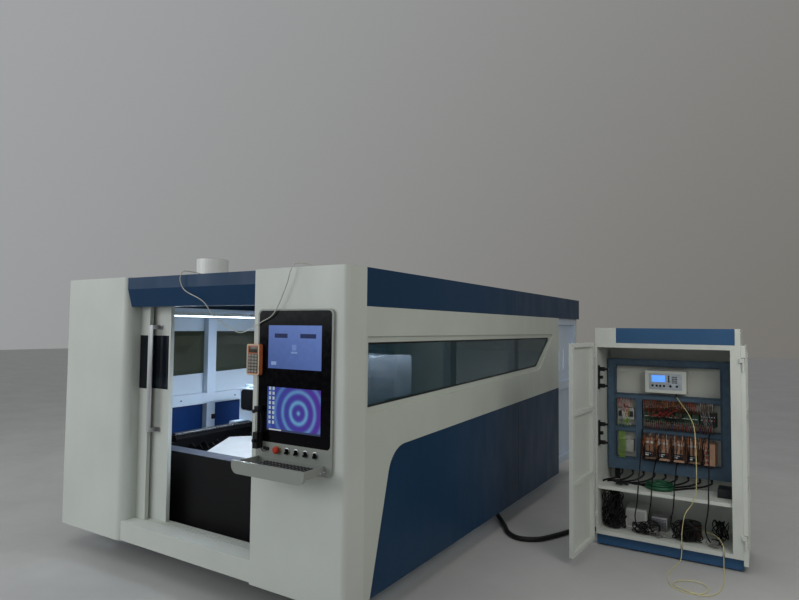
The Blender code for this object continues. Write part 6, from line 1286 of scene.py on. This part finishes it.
# %% Floor and sky
FLOOR_HALF = 40.0
SKY_WAY = (-0.55, -0.65, 0.52)  # where the sky is brightest
SKY_BRIGHT, SKY_DIM = (0.93, 0.96, 1.0), (0.42, 0.4, 0.36)
SKY_STRENGTH = 0.42


def add_floor():
    """A wide pale floor, which isn't part of the object."""
    mesh = bpy.data.meshes.new("floor")
    work = bmesh.new()
    bmesh.ops.create_grid(work, x_segments=4, y_segments=4, size=FLOOR_HALF)
    work.to_mesh(mesh)
    work.free()
    floor = add_object("floor", mesh)
    mesh.materials.append(enamel("studio_floor", (0.46, 0.46, 0.45), 0.6, 0.05))
    floor.location.z = -0.0005


def add_sky():
    """A sky that fades from the front left round to the right."""
    world = bpy.data.worlds.new("studio")
    bpy.context.scene.world = world
    world.use_nodes = True
    tree = Tree(world.node_tree)
    way = tree.node("ShaderNodeTexCoord").outputs["Generated"]
    facing = tree.node("ShaderNodeVectorMath", {0: way, 1: SKY_WAY}, operation="DOT_PRODUCT")
    share = tree.node("ShaderNodeMapRange", {
        "Value": facing.outputs["Value"], "From Min": -0.7, "From Max": 0.7})
    colour = tree.ramp(share.outputs[0], 0.0, 1.0, SKY_DIM, SKY_BRIGHT)
    tree.feed(world.node_tree.nodes["Background"], {"Color": colour, "Strength": SKY_STRENGTH})


add_floor()
add_sky()
print("floor", 2 * FLOOR_HALF, "m wide")

# %% [markdown]
# Three large soft lamps stand for the hall's skylight and windows. Two white strips
# under the roof light the cutting room, as in the photo. Each strip has a body, a
# glowing diffuser that is seen, and a lamp with a limited spread that does the work:
# a mesh that glows would light the room too, but with far more noise.

# %% Lamps
STRIP_HEIGHT, STRIP_AIM_HEIGHT = 1.775, 0.6


def add_lamp(name, place, target, size, power, colour):
    """A large soft lamp that looks at a place."""
    data = bpy.data.lights.new(name, "AREA")
    data.shape = "RECTANGLE"
    data.size, data.size_y = size
    data.energy, data.color = power, colour
    lamp = add_object(name, data)
    lamp.location = at(*place)
    way = at(*target) - lamp.location
    lamp.rotation_euler = way.to_track_quat("-Z", "Y").to_euler()
    return lamp


add_lamp("skylight", (-1.5, 1.0, 6.5), (-1.5, 1.0, 0.0), (7.0, 9.0), 105.0, (1.0, 0.99, 0.96))
add_lamp("front_window", (-5.5, -5.5, 3.2), (-1.6, 0.5, 1.1), (5.0, 3.0), 160.0, (0.93, 0.97, 1.0))
add_lamp("cabinet_window", (2.9, 0.2, 2.7), (1.3, 2.5, 0.85), (1.2, 1.2), 26.0, (1.0, 0.98, 0.94))
for side, x, aim, angle in (("right", -0.42, -1.7, 92.0), ("left", -2.4, -1.2, 130.0)):
    box(f"strip_body_{side}", WHITE_PLASTIC,
        (x - 0.03, 0.45, 1.795), (x + 0.03, 4.4, 1.826), 0.004)
    box(f"strip_light_{side}", glow(f"strip_glow_{side}", (0.8, 0.9, 1.0), 5.0),
        (x - 0.02, 0.47, 1.785), (x + 0.02, 4.38, 1.7947), 0.003)
    lamp = add_lamp(f"strip_lamp_{side}", (x, 2.4, STRIP_HEIGHT), (aim, 2.4, STRIP_AIM_HEIGHT),
                    (0.05, 3.8), 46.0, (0.78, 0.88, 1.0))
    lamp.data.spread = math.radians(angle)
    lamp.rotation_euler = (0.0, math.atan2(x - aim, STRIP_HEIGHT - STRIP_AIM_HEIGHT), 0.0)
bpy.context.scene.view_settings.view_transform = "Standard"
print("studio ready")

# %% [markdown]
